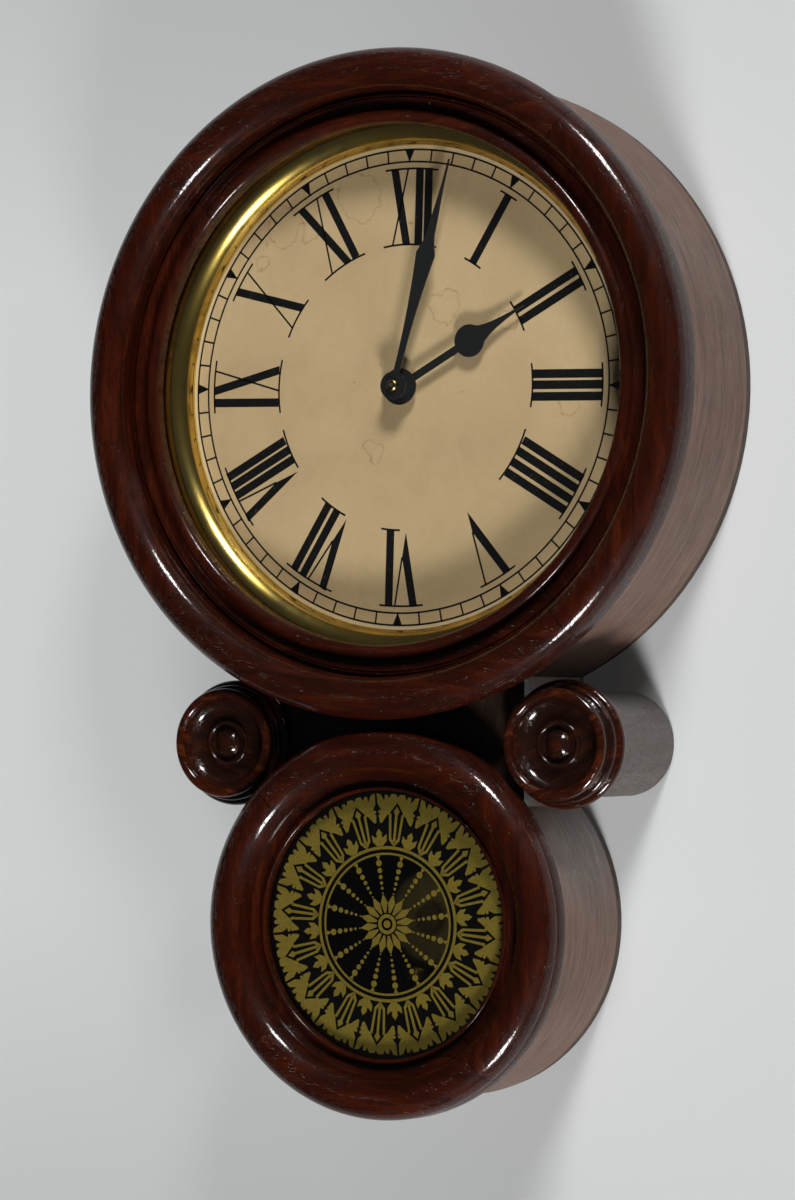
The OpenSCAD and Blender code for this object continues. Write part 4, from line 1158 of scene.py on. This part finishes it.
def wallMaterial():
    material, tree, shader = newMaterial("paleWall", Roughness=0.9)
    place = objectPlace(tree)
    parts = addNode(tree, "ShaderNodeSeparateXYZ", {0: place}).outputs
    # painted light and shade: lighter on the left, darker on the right and towards the top and bottom ends
    colour = mixColour(tree, remap(tree, parts[0], -0.35, 0.35), wallLook["left"], wallLook["right"])
    fromMiddle = calc(tree, "ABSOLUTE", calc(tree, "ADD", parts[2], 0.1))
    colour = mixColour(tree, remap(tree, fromMiddle, 0.17, 0.48), colour, wallLook["ends"])
    clouds = remap(tree, noise(tree, place, 2.2, 3), 0.3, 0.7, 0, 0.04)
    colour = mixColour(tree, clouds, colour, (0.4, 0.4, 0.4))
    tree.links.new(colour, shader.inputs["Base Color"])
    addBump(tree, shader, noise(tree, place, 240, 3), 0.0002, 0.3)
    plain = addNode(tree, "ShaderNodeEmission", {"Color": colour, "Strength": wallLook["backdrop"]})
    ray = addNode(tree, "ShaderNodeLightPath").outputs
    seen = calc(tree, "MAXIMUM", ray["Is Glossy Ray"], ray["Is Transmission Ray"])
    seen = calc(tree, "MAXIMUM", ray["Is Camera Ray"], seen)
    share = remap(tree, parts[0], -0.08, 0.07, wallLook["leftShare"], wallLook["rightShare"])
    share = calc(tree, "MULTIPLY", seen, share)
    lit = addNode(tree, "ShaderNodeMixShader", {0: share, 1: shader.outputs[0], 2: plain.outputs[0]})
    through = addNode(tree, "ShaderNodeBsdfTransparent")
    behind = addNode(tree, "ShaderNodeNewGeometry").outputs["Backfacing"]
    mix = addNode(tree, "ShaderNodeMixShader", {0: behind, 1: lit.outputs[0], 2: through.outputs[0]})
    showInstead(tree, mix.outputs[0])
    return material


def stagePlane(name, corners, material):
    mesh = bpy.data.meshes.new(name)
    mesh.from_pydata(corners, [], [(0, 1, 2, 3)])
    plane = bpy.data.objects.new(name, mesh)
    bpy.context.scene.collection.objects.link(plane)
    mesh.materials.append(material)
    return plane


paleWall = wallMaterial()
# just behind the clock's back, so that the two faces don't coincide
wallCorners = [(x, wallLook["behind"], z) for x, z in ((-4, -3), (4, -3), (4, 3), (-4, 3))]
wallPlane = stagePlane("stageWall", wallCorners, paleWall)
wallPlane.visible_shadow = False


# lamps and camera

# metres, degrees and watts; "middle" is the height of the clock's middle
lamps = {
    "turn": 33,
    "lift": 50,
    "distance": 3.0,
    "size": 0.6,
    "power": 96,
    "middle": -0.08,
    "rearPower": 14,
    "rearDistance": 2.0,
    "rearSize": 0.3,
    "rearMiddle": -0.1,
    "fill": 0.038,
    "fillColour": (0.82, 0.85, 0.88),
}


def addLamp(name, place, target, size, power):
    data = bpy.data.lights.new(name, "AREA")
    data.shape = "SQUARE"
    data.size = size
    data.energy = power
    lamp = bpy.data.objects.new(name, data)
    lamp.location = place
    lamp.rotation_euler = (Vector(target) - Vector(place)).to_track_quat("-Z", "Y").to_euler()
    bpy.context.scene.collection.objects.link(lamp)
    return lamp


for name, lift in (("upperLamp", lamps["lift"]), ("lowerLamp", -lamps["lift"])):
    out, up = polar(lamps["distance"], lift)
    front, side = polar(out, lamps["turn"])
    target = (0, -0.05, lamps["middle"])
    addLamp(name, (side, -front, up + lamps["middle"]), target, lamps["size"], lamps["power"])
# straight behind the clock, so that it lights the back alone
target = (0, 0, lamps["rearMiddle"])
place = (0, lamps["rearDistance"], lamps["rearMiddle"])
addLamp("rearLamp", place, target, lamps["rearSize"], lamps["rearPower"])

world = bpy.data.worlds.new("studioAir")
world.use_nodes = True
background = world.node_tree.nodes["Background"]
background.inputs["Color"].default_value = (*lamps["fillColour"], 1)
background.inputs["Strength"].default_value = lamps["fill"]
bpy.context.scene.world = world

# focal length in pixels of the photo's height, angles in degrees, distances in millimetres
view = {
    "focal": 3979.6,
    "photoHeight": 1200,
    "yaw": 27.762,
    "pitch": 1.7,
    "roll": 0.105,
    "distance": 2093.0,
    "aim": (-8.01, -60, -111.2),
}


def addCamera():
    yaw = math.radians(view["yaw"])
    pitch = math.radians(view["pitch"])
    forward = Vector((-math.sin(yaw) * math.cos(pitch), math.cos(yaw) * math.cos(pitch), math.sin(pitch)))
    right = Vector((math.cos(yaw), math.sin(yaw), 0))
    up = right.cross(forward)
    roll = math.radians(view["roll"])
    tiltedRight = right * math.cos(roll) + up * math.sin(roll)
    tiltedUp = up * math.cos(roll) - right * math.sin(roll)
    data = bpy.data.cameras.new("photoCamera")
    data.sensor_width = 36
    data.lens = data.sensor_width * view["focal"] / view["photoHeight"]
    data.clip_start = 0.05
    camera = bpy.data.objects.new("photoCamera", data)
    turn = Matrix((tiltedRight, tiltedUp, -forward)).transposed().to_4x4()
    place = (Vector(view["aim"]) - forward * view["distance"]) * mm
    camera.matrix_world = Matrix.Translation(place) @ turn
    bpy.context.scene.collection.objects.link(camera)
    bpy.context.scene.camera = camera


addCamera()
bpy.context.scene.view_settings.view_transform = "Standard"
print("stage, lamps and camera set")
